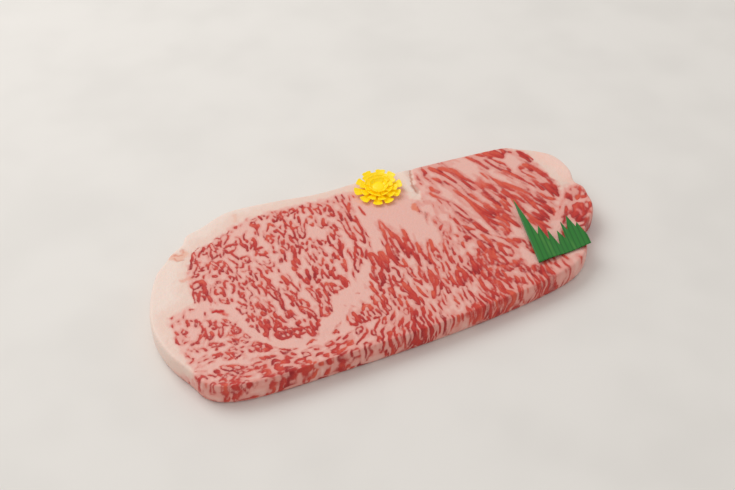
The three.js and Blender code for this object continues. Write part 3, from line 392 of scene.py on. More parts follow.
BRIGHT_FLECKS: list[Row] = [
    # The round muscle
    (0.45, -87.8, 26.8, -88.2, 25.6), (0.8, -68, 42.3, -67, 41.3),
    (0.7, -72.9, 27.6, -71.3, 27.8, -69.3, 28.4), (0.5, -53, 41.4, -52.6, 39.8, -53.2, 38.4),
    (0.8, -47.8, 39.6, -46.6, 38.8, -45.8, 37.6, -45.5, 36.4), (0.6, -41.3, 44.8, -40.4, 44.2),
    (0.55, -50.8, 31.5, -49.3, 30.5, -50, 28.8, -49.2, 27.4, -50, 26, -51, 25.5, -51.6, 27, -51.4, 28.6,
     -52.3, 29.3, -51.5, 30.8), (0.55, -36.9, 31.8, -35.6, 31.6, -34.1, 31.9),
    (0.4, -40, 38, -39, 36, -38.4, 33.8), (0.6, -28.2, 31.2, -27, 29.6, -26.2, 31.5),
    (1.1, -48.1, 19.4, -47.4, 18.2, -47.8, 16.8), (0.5, -33.1, 21.4, -31.6, 21.2, -31, 19.4, -31.2, 17.8),
    (0.75, -86.9, 3.3, -85.7, 2.6), (0.4, -74, -10.8, -73, -11, -73, -12.8, -74, -13.1, -74.5, -12),
    (0.65, -70.5, 12.7, -69.4, 12, -68, 12.4, -67, 12), (0.35, -65, 8.9, -62.7, 8),
    (0.35, -70.7, -6, -69.4, -6, -68.8, -8, -69, -10),
    (0.45, -66.9, -9.2, -66.2, -11.5, -65.2, -13.6, -64.5, -15.2), (0.45, -48.1, 12.2, -48, 10.6),
    (0.65, -30.6, 6, -31.4, 4, -32.4, 2.2, -33.1, 1.2), (0.55, -33.6, 3.2, -33.2, 1.2),
    (0.45, -27.5, 3.2, -27.4, 0.8), (0.8, -35.6, -10.8, -34, -11.4, -32.5, -13, -31.7, -14),
    (0.45, -66.7, -12.4, -66, -15, -65.6, -17.6, -66.8, -17.7, -67, -15.4), (0.35, -67, -30.6, -66, -31.4),
    (0.5, -55.7, -27.8, -55.9, -29.4, -56.7, -28.8),
    (0.45, -50.2, -15.5, -48.8, -17.4, -48.2, -19.4, -48, -21.2), (0.6, -54.5, -33.3, -53, -33.6),
    (1, -44.6, -29.6, -42.8, -30.1, -41.3, -29.3), (0.45, -29.6, -29.2, -28.4, -30.1),
    # The front muscle
    (0.5, -111.3, -12.8, -110.2, -15), (0.75, -109.1, -20.9, -107.4, -20.6),
    (0.4, -107.5, -17, -106.5, -18.1), (0.5, -91.6, -13.2, -91.7, -14.4, -93.6, -13.9),
    (0.6, -89.7, -23.9, -87.8, -24.6, -86.6, -26.6, -85.8, -29, -86, -30.3),
    (0.4, -104.9, -26.6, -103, -27, -102, -27.2, -101.2, -28.2), (0.85, -96, -27.4, -93.7, -28.2),
    (0.95, -77.6, -38.9, -74.8, -39.2), (0.35, -110, -38.3, -108, -39, -106, -39.6, -104.2, -40.3),
    (0.5, -97.9, -40.2, -94, -41.3, -91.6, -42.3, -89.4, -44, -86.8, -45.3),
    (0.35, -85, -45, -82.4, -44.6, -80.2, -44.6), (0.9, -79.9, -42.4, -78.2, -43.8),
    (0.45, -74.8, -43.4, -73.2, -44.1), (0.5, -64.5, -43.5, -62.6, -43.7),
    (0.5, -57.7, -43.2, -56, -42, -54, -41.4, -52.3, -42.3),
    # The columns beside it
    (0.57, -26.5, 36.7, -25, 36.7, -25.1, 35.2), (0.53, -22.8, 4.8, -23.5, 1.8),
    (0.53, -15, 3.2, -15.4, 0.8), (0.53, -3, 39.6, -3.4, 37.6, -4.6, 36, -5.4, 32.8),
    (0.44, -7.6, 21.2, -7.6, 18, -6.5, 14), (0.62, 1.1, 43.8, 1.5, 41.8),
    (0.75, -21.5, 0.7, -22.2, -3, -23.2, -6.9), (0.4, -12.4, 0.2, -11.8, -1.8),
    # The middle muscle
    (0.99, 6.3, 20.2, 5.1, 14, 4.1, 8, 2.7, 2.5), (0.88, 6.5, 19.2, 7.4, 13, 8.3, 8.5),
    (1.49, 7.6, 10.4, 8.6, 6.6, 9.6, 2.8), (1.43, 14.2, 9, 13.7, 5, 13.2, 1),
    (1.04, 16.8, -2.4, 16.3, -8, 16.6, -13), (1.26, 24.1, -3.4, 23.2, -7, 21.9, -10.8),
    (0.55, 21, -6.4, 19.6, -11, 19, -16, 18.3, -22), (0.94, -7.2, -0.2, -8.2, -3, -9, -8.2),
    (1.04, -2.1, -1.4, -1.4, -5, -1.4, -9.2), (0.99, -6, -31.8, -7, -35, -7.6, -39),
    (0.55, -4.6, -36.8, -5, -40.2), (0.94, 2.1, -12.4, 3, -14, 4.1, -15.5, 5.6, -13.8, 5.6, -10.8),
    (0.5, 5.8, -20.8, 6.6, -23.6, 7.7, -25.2), (0.77, 4, -30.8, 4.6, -34, 5.9, -38.2),
    (1.32, 10, -35.8, 8.9, -39.4), (0.94, 18.7, -29.8, 19.5, -34.2),
    (0.94, -16.6, -21.2, -15.8, -24, -15.4, -26.6), (1.43, -16.6, -27.8, -17.5, -30.8, -18.7, -32),
    (0.5, -34.2, -33.8, -34.6, -37, -34.1, -39.8),
    (0.83, -25.5, -33.1, -24, -31.5, -22.4, -32, -22, -33.6, -22.4, -35.2),
    (0.55, 34.6, -0.9, 34.2, -4, 34.2, -6.8), (0.35, 35.8, -3.9, 37.8, -4.4, 38.7, -6.2),
    (0.6, 30.5, -5.4, 29.4, -8, 28.4, -12, 27.6, -15.2), (0.99, 28.7, -25.8, 28.3, -28.8),
    # The right muscle
    (2.1, 80.4, 21, 83.6, 16.4, 86.8, 12, 88, 7.6, 87.4, 3.4), (0.4, 38.7, -10.8, 37.9, -14.6),
    (0.98, 45, -0.8, 46.8, -3.6, 49, -4.8), (1.1, 50.2, -9.8, 51.6, -15, 53.5, -19.2),
    (0.55, 59, -23.8, 58.6, -27, 57.6, -29.6, 55.8, -29), (1.3, 48.8, 48.8, 50.4, 45.6, 52.6, 42),
    (1.3, 47.5, 39.6, 49.4, 36.4), (1.9, 54.5, 46, 57.2, 43.6, 60.2, 40.7, 62.8, 34.6),
    (1.5, 41.7, 33.6, 43, 30.6, 44.5, 28.2), (1.03, 39.3, 29.6, 41, 26.4, 43.6, 23, 45.7, 19.2),
    (1.03, 52.5, 26.8, 53.8, 23.4, 55.1, 20.4), (1.4, 55.7, 19.4, 57, 15, 58.4, 10.4),
    (1.2, 56, 13, 56.6, 8, 57.6, 3, 57.9, -4), (0.92, 59.9, 20.8, 61.4, 16, 63, 11.4, 64.4, 7, 65.7, 1.8),
    (0.7, 64.3, 12, 65, 6, 65.8, 0.4), (0.8, 66.6, 9, 67.2, 5, 68, 0.6), (0.8, 68.6, 7, 69.2, 4, 69.8, 0.4),
    (0.8, 71.6, 9.6, 72.2, 5, 73, 1), (0.8, 73.8, 10.6, 74.4, 6.6, 75, 3), (1.3, 67, 27.4, 68, 24.6),
    (1.8, 69.8, 27.6, 71.2, 22.4, 72, 20.4), (1.4, 77.9, 49.8, 80.6, 47, 83, 46),
    (1.4, 73.3, 34.2, 74.8, 31, 76.1, 26.8), (1.5, 77.9, 25.8, 79.6, 21.4, 81, 17.6, 82.5, 14.4),
    (1.03, 73.1, 6.2, 72, 1.8), (1.9, 95.6, 29.3, 98, 30, 100.6, 29.2),
    (0.9, 94.9, 6.4, 95.6, 3.4, 96.6, 0.8), (1.5, 62.3, -9.8, 63.3, -12.6, 61.9, -14.7),
    (1.3, 61.3, -17.8, 62.4, -21, 62.9, -24.8), (1.7, 64.3, -1, 65.4, -5, 66.4, -9),
    (1, 94.8, -5.6, 94.2, -8.6, 92.6, -10.8), (1.2, 96.6, 1.9, 98, 0.9, 99.6, -0.1),
    (0.4, 107.3, 12.2, 108.7, 9, 107, 7.5, 105.9, 10.2),
    # The tail
    (1.4, 111, -3.9, 113.2, -3.1, 115.3, -4.4),
]
DEEP_FLECKS: list[Row] = [
    # The round muscle
    (0.6, -96.3, 23.2, -94.6, 23.6, -93, 24.2, -92.6, 26, -92.2, 28.5, -91, 30.8, -89.8, 33, -88.4, 35, -86,
     36.4, -84, 36.8, -82.8, 34.6), (0.9, -80.4, 20.5, -79.8, 18.6, -79, 16.4),
    (1.1, -65.2, 31.4, -63.8, 29.2, -63.3, 27.2), (0.65, -63.3, 27.4, -63.6, 25.2),
    (0.4, -74.8, 30.5, -75.1, 28, -76, 26), (0.65, -71.4, 26, -70.8, 24.6, -70, 23, -69.6, 21.2),
    (0.45, -59.4, 39.2, -60.6, 38, -61.8, 36.5, -62.6, 34.6, -63, 33),
    (0.45, -54.4, 38, -54.6, 35.5, -55, 33.2), (0.65, -50.3, 47.2, -50, 45.6, -49.8, 44),
    (0.4, -47.9, 46.6, -47.7, 45.9), (0.6, -41.4, 42.4, -42.6, 40.2, -44.3, 39.7, -44.3, 41.4),
    (0.4, -39.4, 40, -39.4, 37.6), (0.5, -45.4, 29, -46.4, 27.6, -47, 26, -47.8, 23.8),
    (0.5, -38.4, 24.4, -37.8, 22.6, -38.2, 20.2), (0.6, -31.4, 39, -32, 36.6, -32.7, 34.6),
    (0.4, -43.8, 13, -43.9, 10.6), (0.5, -91.4, 13, -92.4, 10.8, -94, 10.1, -96, 9.9),
    (0.6, -90.6, 9, -91.2, 6.5, -90.7, 3.8), (0.35, -90, 7.4, -90.2, 5.2),
    (0.5, -93.4, 4.6, -92.4, 3, -93.1, 1.2), (0.3, -86.1, -0.3, -86.5, -2), (0.45, -82.7, -1.4, -82.5, -3.6),
    (0.55, -71.7, 1.2, -71.2, -1, -70.6, -3, -70.6, -4.4, -72.2, -5, -73.1, -6.2),
    (0.75, -75.2, -5, -74.8, -6.4, -74.5, -7.8), (0.4, -80.6, -9.7, -79.4, -11, -79.6, -13.2),
    (0.35, -67.7, 11, -67.6, 8.8), (0.4, -66.3, 11.6, -65.7, 9, -65.4, 6.5, -65.5, 4.2),
    (0.45, -63.4, -5.2, -62.6, -7.4, -62, -9.6, -60.8, -12), (0.3, -60.2, 13, -60.2, 10.2),
    (0.7, -46.8, 18, -47.5, 15.4, -48.2, 12.6), (0.4, -49.6, 14, -50.3, 10.8),
    (0.95, -41.2, 1.5, -41.4, -1, -41.2, -3.4, -41.6, -4.8),
    (0.55, -36.8, 3.6, -37.7, 0, -38.2, -2.6, -38.9, -4.8),
    (0.45, -60, -5, -58.8, -7, -58.3, -8.8, -58.8, -10.2),
    (0.95, -60, -6.6, -59.9, -9, -59.6, -11, -59.4, -13, -60, -15, -60, -17.5, -59.7, -19.6),
    (0.5, -76.6, -13.4, -77, -14.4), (0.4, -73.1, -13.6, -73.4, -15.4),
    (0.45, -76.6, -24, -75.6, -26, -75.1, -28), (0.5, -69, -12, -68.6, -14.4, -68.4, -17.6),
    (0.45, -61.8, -32, -61.6, -34.4), (0.6, -57.6, -28.8, -57.4, -31), (0.5, -50.4, -25, -50.4, -28.8),
    (0.5, -48.6, -27, -48, -31.2), (0.6, -44, -18.8, -43, -20, -42.4, -22),
    (0.8, -39.1, -21.4, -38.9, -24, -39.3, -28.8), (0.45, -36.8, -16, -36.6, -18.8),
    (0.45, -37.7, -19.8, -37.3, -22.8),
    # The front muscle
    (0.75, -100.5, -9.5, -100.7, -11.4, -101.4, -13.2), (0.85, -96.2, -20.8, -96.5, -22.4),
    (0.4, -90, -17.8, -90.2, -20.4, -90.9, -21.8), (0.3, -84, -18.8, -83.8, -19.5),
    (0.45, -88.7, -25.5, -87.6, -28, -87, -29.6),
    (0.5, -87.1, -34.8, -85.8, -36, -86.1, -37.4, -87.8, -37.9, -89.5, -38.1),
    (0.35, -75.4, -36, -74, -38.8), (1.5, -97, -41.2, -95, -42.6, -93.8, -43.4),
    (0.5, -92.8, -45.4, -91.6, -46.8),
    # The columns beside it
    (0.53, -18.3, 15.6, -18.2, 13.4, -19.2, 11.6, -20, 9, -20.6, 6, -21.4, 2.8),
    (0.4, -22.5, 19.8, -23.4, 17, -23.6, 14), (0.53, -11.4, 30.2, -11.7, 27.2),
    (0.97, -6, 36.6, -6.4, 33, -6.8, 29, -7, 25.8), (0.66, -5.6, 15.4, -5.8, 11, -7, 7.8),
    (0.4, -15.4, 0.4, -16.8, -2.4, -18, -4.6, -18.6, -7.4, -18.3, -10.2), (0.4, -16.9, -0.9, -16.2, -2.4),
    # The middle muscle
    (0.77, 8.7, 2.4, 8.3, -3.8), (0.45, 4.2, 0.6, 3.4, -5, 3.7, -10.2), (1.54, 10.9, -4.6, 9.9, -9.8),
    (0.83, 16.6, -12, 16.9, -18.2), (0.77, -9, -14.8, -9.6, -18, -10, -20.6, -11.1, -22.8),
    (0.88, -12.6, -22.4, -12.8, -25.6), (0.88, -6.6, -11.8, -8, -15, -8.4, -20, -9.6, -21.6),
    (0.6, -1.4, -13.8, -0.2, -17, -0.6, -21.2), (1.32, 15.1, -29.6, 14.6, -35.4),
    (0.4, -18, -32.8, -18, -36, -17.4, -39, -16.5, -41), (1.54, -14, -35.6, -13.7, -38.2),
    (0.5, -28.8, -35.8, -28, -38, -27.6, -40.2), (0.35, -22, -35.2, -21.8, -38.2),
    (0.35, 28.7, 19.8, 28.1, 16.8), (0.35, 31.1, 15.2, 29.9, 12.4), (1.32, 27.1, -32.8, 25.9, -37.2),
    # The right muscle
    (2.1, 91, -1.4, 91.9, -4.8, 92.6, -8), (0.6, 30.9, -24.8, 31.8, -28, 32.8, -31.6),
    (1.6, 36.8, -24.6, 36.4, -29, 35.5, -33.2), (0.98, 41.5, -7.8, 42.2, -9, 43.6, -9.8),
    (0.5, 40.2, -10, 40.7, -11.2), (0.98, 43.5, 1, 44, -2, 44.9, -6.2),
    (0.4, 48.6, 13.2, 49.8, 9, 50.7, 4.8), (1.5, 51, -0.8, 52, -5, 53.7, -10.2),
    (0.6, 44.6, -6, 46.4, -9.4, 47.6, -12.6, 49, -15.6, 50.3, -18.8), (0.92, 50.3, -20.8, 51.9, -24.2),
    (0.5, 48, -26.8, 47.5, -33.2), (1.1, 52.4, 42.4, 54, 39, 55, 36, 56.5, 31.8),
    (0.5, 51.5, 47.8, 53.5, 42.8), (1.03, 49.2, 36.8, 51.7, 32.4),
    (1.6, 58.6, 40.6, 59.5, 37.4, 60.6, 33, 62, 28, 63.1, 23.2), (0.45, 45, 19.2, 45.4, 14, 46.3, 9.4),
    (0.55, 47, 19.2, 48.8, 13, 50, 8, 50.9, 1.8), (0.4, 45.6, 13.8, 47.4, 7, 47.9, 4.4),
    (0.8, 60.2, 8, 61.4, 4, 62.2, -1), (0.8, 62.2, 8.6, 63.2, 4, 64.1, -0.4),
    (0.45, 57.8, -3.8, 57.9, -8.6, 59.3, -14), (0.92, 60.4, -1, 60.5, -3.6, 61.4, -7.8),
    (1, 66.4, 27, 67.7, 21, 68.4, 16, 69.2, 12, 70.2, 6.4), (0.8, 73.9, 14.8, 74.7, 11.6, 75.3, 9.6),
    (0.6, 92.5, 49.2, 94.4, 46, 95.1, 43.4), (0.98, 80.5, 43.2, 81.4, 40, 82, 37, 83.6, 34, 85.6, 30.6),
    (0.92, 88.7, 31.8, 88.4, 28.8), (0.5, 71.3, 3.2, 72.4, -1, 73.1, -4.2), (1, 99.2, 28, 99.7, 24.8),
    (0.8, 89, 5, 89.4, 1.6, 90, -1.6), (2, 83.2, -5.6, 84, -8.4, 84.8, -11.6),
    (0.5, 62.3, 4.2, 63.6, 1, 64.3, -1.2), (0.6, 68.1, -23.8, 68.9, -26.6), (0.92, 67.3, -29.4, 67.9, -31.8),
    (0.92, 88.4, -4.8, 88.4, -10, 88.6, -13.8), (1.4, 100.5, 43.2, 101.8, 40, 102.8, 36, 102.3, 31.8),
    (3, 101.4, 11, 102.2, 7, 102.4, 3), (1.4, 104, 9.4, 104.6, 6), (1.03, 99.6, 13.4, 99.4, 8),
    # The tail
    (3, 109.2, -8.4, 106.4, -10, 104.3, -12.6, 103, -15.6, 102.6, -18.4),
    (2.8, 110.2, -9.4, 108.6, -12.6, 106.4, -15.4, 104, -18.4), (1.2, 108.8, 0.7, 107.2, -2, 108, -4),
    (1.1, 102.6, -6.8, 100.1, -10.1, 98.1, -13.4, 96, -16, 93.9, -18.6),
    (1.1, 100.6, -22.6, 103, -23, 104.8, -22.2),
]
PALE_FLECKS: list[Row] = [
    # The round muscle
    (0.3, -85.4, 33, -85.2, 31), (0.35, -83.2, 21.4, -83, 19.5),
    (0.45, -77.6, 39, -76, 40, -74.6, 39.6, -74.2, 38.3),
    (0.45, -72.2, 40.2, -70.8, 40.8, -69.8, 40, -69.6, 38.6, -70.6, 37.2),
    (0.35, -73.6, 38.6, -73.8, 36, -75, 33), (0.35, -68.4, 18.8, -68.6, 17),
    (0.55, -63.8, 43.6, -62.5, 45.2), (0.5, -61.5, 43.4, -60.5, 44.6), (0.35, -56, 21.4, -56.8, 19.4),
    (0.35, -56, 37.2, -56.3, 35), (0.35, -55.6, 44, -53.6, 43.9, -52.2, 44.9), (0.45, -43, 47.6, -42.4, 45),
    (0.4, -44.2, 25.5, -45, 23.4, -45.4, 21.8), (0.35, -33, 31, -33.2, 29.2),
    (0.3, -33.2, 26.4, -33.6, 28.6, -34.4, 28),
    (0.35, -37.6, 42.4, -36.4, 41.3, -35.4, 42.4, -35.4, 44.3, -36.6, 44.6, -37.5, 43.4),
    (0.35, -30.1, 45.6, -30, 43, -31, 41), (0.3, -96.6, 4.6, -96.2, 1.6), (0.3, -90.3, -1, -91.1, -2.8),
    (0.25, -88.6, -1.8, -88.6, -2.6), (0.3, -50.9, 2.2, -50.5, 1), (0.65, -31.7, 11, -30.8, 9.6, -32.2, 9),
    (0.4, -30.2, 1.2, -30, -1), (0.3, -68, -32, -66.6, -34.4), (0.3, -46, -22.4, -45.7, -23.8),
    (0.35, -32.9, -27.2, -32.2, -28.6), (0.4, -24.6, -22.5, -23.3, -23.1),
    # The front muscle
    (0.4, -110.9, -7.8, -111.7, -10.2), (0.4, -111, -15, -111.8, -18, -111.6, -20.4, -110.3, -21.3),
    (0.4, -108.4, -8.5, -108, -8.8), (0.4, -108.6, -25.2, -107.1, -26.8),
    (0.3, -110, -26.8, -109.2, -30, -107.7, -31.3), (0.35, -106.2, -34.4, -103.4, -34.2, -101, -34.2),
    (0.35, -94.6, -36.3, -92.9, -37), (0.4, -83.8, -34, -80.6, -34.3),
    # The columns beside it
    (0.31, -22.4, 46.3, -21.6, 45.7), (0.35, -28, 36.2, -29.2, 34.6), (0.4, -12.8, 45.1, -13.1, 43.5),
    (0.31, -26.5, 17.9, -26, 17.2), (0.26, -11.2, 22.2, -11.1, 17), (0.44, -8, 42.8, -8, 40, -7.4, 36.8),
    (0.4, -5.2, 43.2, -5.7, 37.8), (0.44, -1, 44.2, -2, 40, -3.2, 37), (0.26, -23.6, -1.3, -23.8, -4.6),
    # The middle muscle
    (0.35, 21.5, -12, 21, -17.4), (0.35, -9.8, -29, -10.3, -31.2), (0.35, 31.6, 10.2, 31.4, 4.9),
    (0.35, 34.5, 9.2, 33.3, 5.5),
    # The right muscle
    (1.03, 41.3, 8.2, 42.4, 5, 43.6, 1), (0.3, 44, -9.8, 42.5, -12.2), (0.98, 42.9, 42.2, 44.7, 39.4),
    (0.6, 38.3, 39.2, 39.1, 37.4), (0.35, 51.8, 32.6, 52.3, 29.4), (0.5, 58.6, 5.6, 59.1, 1.6, 59.8, -2),
    (0.5, 96.2, 43.8, 97.1, 43.1), (0.5, 85, 39.5, 87, 38.6, 88.8, 36, 88.8, 33),
    (0.4, 85.6, 35, 86.8, 32.8, 86.4, 30.6), (1.1, 104.9, 38.8, 105.4, 34, 104.8, 30.8),
    # The tail
    (0.6, 113.6, 5, 115, 3.4, 115.6, 1.6), (0.6, 115.8, 4.8, 116.8, 2.6, 116.9, 0),
    (0.4, 107.1, 2.1, 104, -1.7, 100.1, -5.1, 96, -9.7, 92.3, -13.8),
]
FLECKS: dict[Tone, list[Row]] = {
    Tone.PLAIN: PLAIN_FLECKS,
    Tone.BRIGHT: BRIGHT_FLECKS,
    Tone.DEEP: DEEP_FLECKS,
    Tone.PALE: PALE_FLECKS,
}


def smooth_step(low: float, high: float, value: Array) -> Array:
    """The share of a rise with level ends, from 0 where a value is low to 1 where it is high."""
    share = np.clip((value - low) / (high - low), 0, 1)
    return share * share * (3 - 2 * share)


def distance_to_path(path: Path2D, x: Array, y: Array) -> Array:
    """Distance from points to a line of straight stretches.

    Args:
        path: The line's corners.
        x: The points' places along x.
        y: The points' places along y.

    Returns:
        The distance of each point.
    """
    nearest = np.full(np.shape(x), np.inf)
    for (ax, ay), (bx, by) in zip(path, path[1:]):
        length2 = (bx - ax) ** 2 + (by - ay) ** 2
        along = np.clip(((x - ax) * (bx - ax) + (y - ay) * (by - ay)) / length2, 0, 1)
        nearest = np.minimum(nearest, np.hypot(x - ax - along * (bx - ax), y - ay - along * (by - ay)))
    return nearest


def depth_inside(corners: Path2D, x: Array, y: Array) -> Array:
    """How deep points lie inside a closed outline.

    Args:
        corners: The outline's corners.
        x: The points' places along x.
        y: The points' places along y.

    Returns:
        The distance to the outline, below zero outside it.
    """
    closed = [*corners, corners[0]]
    inside = np.zeros(np.shape(x), bool)
    for (ax, ay), (bx, by) in zip(closed, closed[1:]):
        if ay != by:
            crossing = ax + (y - ay) / (by - ay) * (bx - ax)
            inside ^= ((ay > y) != (by > y)) & (x < crossing)
    distance = distance_to_path(closed, x, y)
    return np.where(inside, distance, -distance)


def colour(red: float, green: float, blue: float) -> Colour:
    """Makes a colour for a shader from display values of 0 to 255."""
    shares = [c / 255 for c in (red, green, blue)]
    return (*(s / 12.92 if s <= 0.04045 else ((s + 0.055) / 1.055) ** 2.4 for s in shares), 1.0)


@dataclass
class Lattice:
    """A square lattice over the cut face, on which the marbling is worked out."""

    step: float = 0.4
    low: Point = (-124.0, -60.0)
    high: Point = (124.0, 60.0)
    x: Array = field(init=False)
    y: Array = field(init=False)

    def __post_init__(self) -> None:
        """Lays out the lattice."""
        self.columns = np.arange(self.low[0], self.high[0], self.step)
        self.rows = np.arange(self.low[1], self.high[1], self.step)
        self.x, self.y = np.meshgrid(self.columns, self.rows)

    def read(self, values: Array, x: Array, y: Array) -> Array:
        """Reads values between the lattice's points.

        Args:
            values: One value for each point of the lattice.
            x: Places along x to read at.
            y: Places along y to read at.

        Returns:
            The values there.
        """
        across = np.clip((np.asarray(x) - self.low[0]) / self.step, 0, values.shape[1] - 1.001)
        up = np.clip((np.asarray(y) - self.low[1]) / self.step, 0, values.shape[0] - 1.001)
        i = across.astype(int)
        j = up.astype(int)
        right = across - i
        over = up - j
        lower = values[j, i] * (1 - right) + values[j, i + 1] * right
        upper = values[j + 1, i] * (1 - right) + values[j + 1, i + 1] * right
        return lower * (1 - over) + upper * over

    def blur(self, values: Array, reach: float) -> Array:
        """Smooths values by a bell curve.

        Args:
            values: One value for each point of the lattice.
            reach: The bell curve's standard deviation.

        Returns:
            The smoothed values.
        """
        up = np.fft.fftfreq(values.shape[0], self.step)[:, None]
        across = np.fft.rfftfreq(values.shape[1], self.step)[None, :]
        bell = np.exp(-2 * (math.pi * reach) ** 2 * (across**2 + up**2))
        return np.fft.irfft2(np.fft.rfft2(values) * bell, s=values.shape)

    def mottle(self, rng: np.random.Generator, reach: float) -> Array:
        """Draws even noise of mean 0 and spread 1, with spots about as large as reach."""
        values = self.blur(rng.standard_normal(self.x.shape), reach)
        return values / values.std()

    def window(self, x: float, y: float, reach: float) -> tuple[slice, slice]:
        """The rows and the columns of the lattice up to reach away from a place."""
        ends = np.searchsorted(self.columns, (x - reach, x + reach))
        return slice(*np.searchsorted(self.rows, (y - reach, y + reach))), slice(*ends)


@dataclass
class Grain:
    """The muscles' grain on every point of the lattice."""

    lean_over: Array
    length: Array
    width: Array
    share: Array
    loops: Array

    @classmethod
    def from_places(cls, lattice: Lattice, places: list[Row], reach: float) -> "Grain":
        """Spreads the grain known at some places over the lattice.

        Args:
            lattice: The lattice to fill.
            places: Rows of x, y, lean in degrees, length, width, share and loops.
            reach: How far each place counts.

        Returns:
            The grain everywhere.
        """
        sums = np.zeros((6, *lattice.x.shape))
        total = np.zeros(lattice.x.shape)
        for x, y, lean, *rest in places:
            weight = np.exp(-((lattice.x - x) ** 2 + (lattice.y - y) ** 2) / (2 * reach**2)) + 1e-9
            turn = 2 * math.radians(lean)
            for k, value in enumerate((math.cos(turn), math.sin(turn), *rest)):
                sums[k] += weight * value
            total += weight
        return cls(0.5 * np.arctan2(sums[1], sums[0]), *(sums[2:] / total))


@dataclass
class Fleck:
    """One fleck of lean: its place, its grain's direction, its half sizes and two random shares."""

    x: float
    y: float
    cosine: float
    sine: float
    half_length: float
    half_width: float
    loop: bool
    wall: float
    bend: float


@dataclass
class Marbling:
    """The lean flecks and the fat of the cut face.

    A warp or a fray is the size and the strength of a noise. An edge or a span is where a smooth rise
    or a range starts and ends.
    """

    seed: int = 7
    reach: float = 8.0  # of each row of the grain
    fine_warp: Point = (0.9, 0.28)
    broad_warp: Point = (4.0, 0.7)
    stain_fray: Point = (0.7, 0.35)
    hops: int = 20  # of a streak along the grain, each way
    vein_span: Point = (0.41, 1.14)  # from the finest to the broadest streaks
    ragged_size: float = 0.8
    patch_size: float = 4.0
    crowd_size: float = 5.5
    tries: int = 24000
    x_span: Point = (-116, 118)
    y_span: Point = (-58, 57)
    size_span: Point = (0.7, 1.35)
    loop_share: float = 0.62
    loop_fill: float = 0.72
    loop_size: Point = (0.66, 0.52)  # shares of the grain's width and length on each side of its middle
    plain_size: Point = (0.36, 0.46)
    clearance: float = 0.66
    density: float = 0.84
    crowding: float = 0.45
    thinning: Point = (0.90, 0.62)  # of the small flecks between those drawn, on the left and the right
    thinning_span: Point = (0, 45)
    shortening: float = 0.45
    narrowing: float = 0.40
    cap_edge: Point = (-2.0, 0.6)
    hand_edge: Point = (-1.0, 2.0)
    rightwards_span: Point = (-30, 70)
    softening: float = 0.5
    fullest: float = 0.38
    solid_edge: Point = (1.0, 1.7)
    tail_edge: Point = (99, 102)
    core_edge: Point = (0.35, 0.85)
    lattice: Lattice = field(default_factory=Lattice)
    lean: Array = field(init=False)
    tone: Array = field(init=False)
    outside: Array = field(init=False)
    fray: list[Array] = field(init=False)

    def __post_init__(self) -> None:
        """Grows the marbling.

        Lean is over zero in a fleck, tone is how bright the fleck is there, outside is the depth into
        the fat cap and fray is the shift along x and y that makes a stain's edge uneven.
        """
        rng = np.random.default_rng(self.seed)
        lattice = self.lattice
        grain = Grain.from_places(lattice, GRAIN, self.reach)
        streaks = self._streaks(rng, grain)
        ragged = lattice.mottle(rng, self.ragged_size)
        patches = lattice.mottle(rng, self.patch_size)
        crowds = lattice.mottle(rng, self.crowd_size)
        warp = [self._noise(rng, self.fine_warp, self.broad_warp) for _ in range(2)]
        self.fray = [self._noise(rng, self.stain_fray) for _ in range(2)]
        drawn, drawn_tone = self._drawn_flecks()
        drawn += 0.12 * ragged
        fat = self._fat(ragged)
        self.outside = -depth_inside(MUSCLES, lattice.x, lattice.y) - 0.5 * ragged
        cap = smooth_step(*self.cap_edge, self.outside)
        by_hand = smooth_step(*self.hand_edge, depth_inside(HAND_DRAWN, lattice.x, lattice.y))
        self._thin_out(grain, crowds, by_hand)
        flecks = self._scatter(rng, grain, drawn, np.maximum(fat, cap))
        LOG.info("marbling: %d small flecks", len(flecks))
        scattered, scattered_tone = self._stamp(flecks, warp)

        cover = np.maximum(scattered, drawn)
        rightwards = smooth_step(*self.rightwards_span, lattice.x + 0.6 * lattice.y)
        soft = 1 + self.softening * rightwards
        solid = smooth_step(*self.solid_edge, cover) * smooth_step(*self.tail_edge, lattice.x)
        pale_core = self._pale_core(cover, crowds, rightwards, solid)
        full = np.minimum(cover, self.fullest + 0.06 * rightwards) - pale_core
        # Fine veins of fat run through the flecks along the grain
        veins = (0.36 + 0.12 * rightwards - 0.16 * grain.loops) * (1 - 0.5 * solid) * streaks
        lean = 1.5 * full + veins + 0.1 * patches + 0.13
        # The patches and seams of fat and the cap hold only the lean that is drawn there
        lean -= 3.0 * fat * (1 - smooth_step(-0.4, 0.4, drawn)) * (1 - 0.7 * by_hand)
        lean -= 3.0 * cap * (1 - smooth_step(-0.5, 0.3, drawn))
        # Towards the right the flecks have softer edges
        lean += (lattice.blur(lean, 0.5) - lean) * 0.9 * rightwards
        self.lean = lean / soft
        # The tone follows the fleck, its veins and the depth inside it; the brighter upper end of each fleck
        # is partly painted light
        nearer_tone = np.where(scattered > drawn, scattered_tone, drawn_tone)
        self.tone = nearer_tone + 0.36 * streaks * (soft - 0.6)
        self.tone += 0.6 * (smooth_step(0.0, 0.9, cover) - 0.4) / soft

    def _noise(self, rng: np.random.Generator, *layers: Point) -> Array:
        """Draws layers of even noise, each of a size and a strength."""
        return sum(strength * self.lattice.mottle(rng, size) for size, strength in layers)

    def _thin_out(self, grain: Grain, crowds: Array, by_hand: Array) -> None:
        """Makes the small flecks fewer and smaller between those drawn one by one.

        Args:
            grain: The grain to change.
            crowds: Noise that crowds the small flecks at some places.
            by_hand: 1 where flecks are drawn one by one.
        """
        left, right = self.thinning
        thinned = 1 - (left + (right - left) * smooth_step(*self.thinning_span, self.lattice.x)) * by_hand
        grain.share = grain.share * self.density * (1 + self.crowding * crowds) * thinned
        grain.length *= 1 - self.shortening * by_hand
        grain.width *= 1 - self.narrowing * by_hand

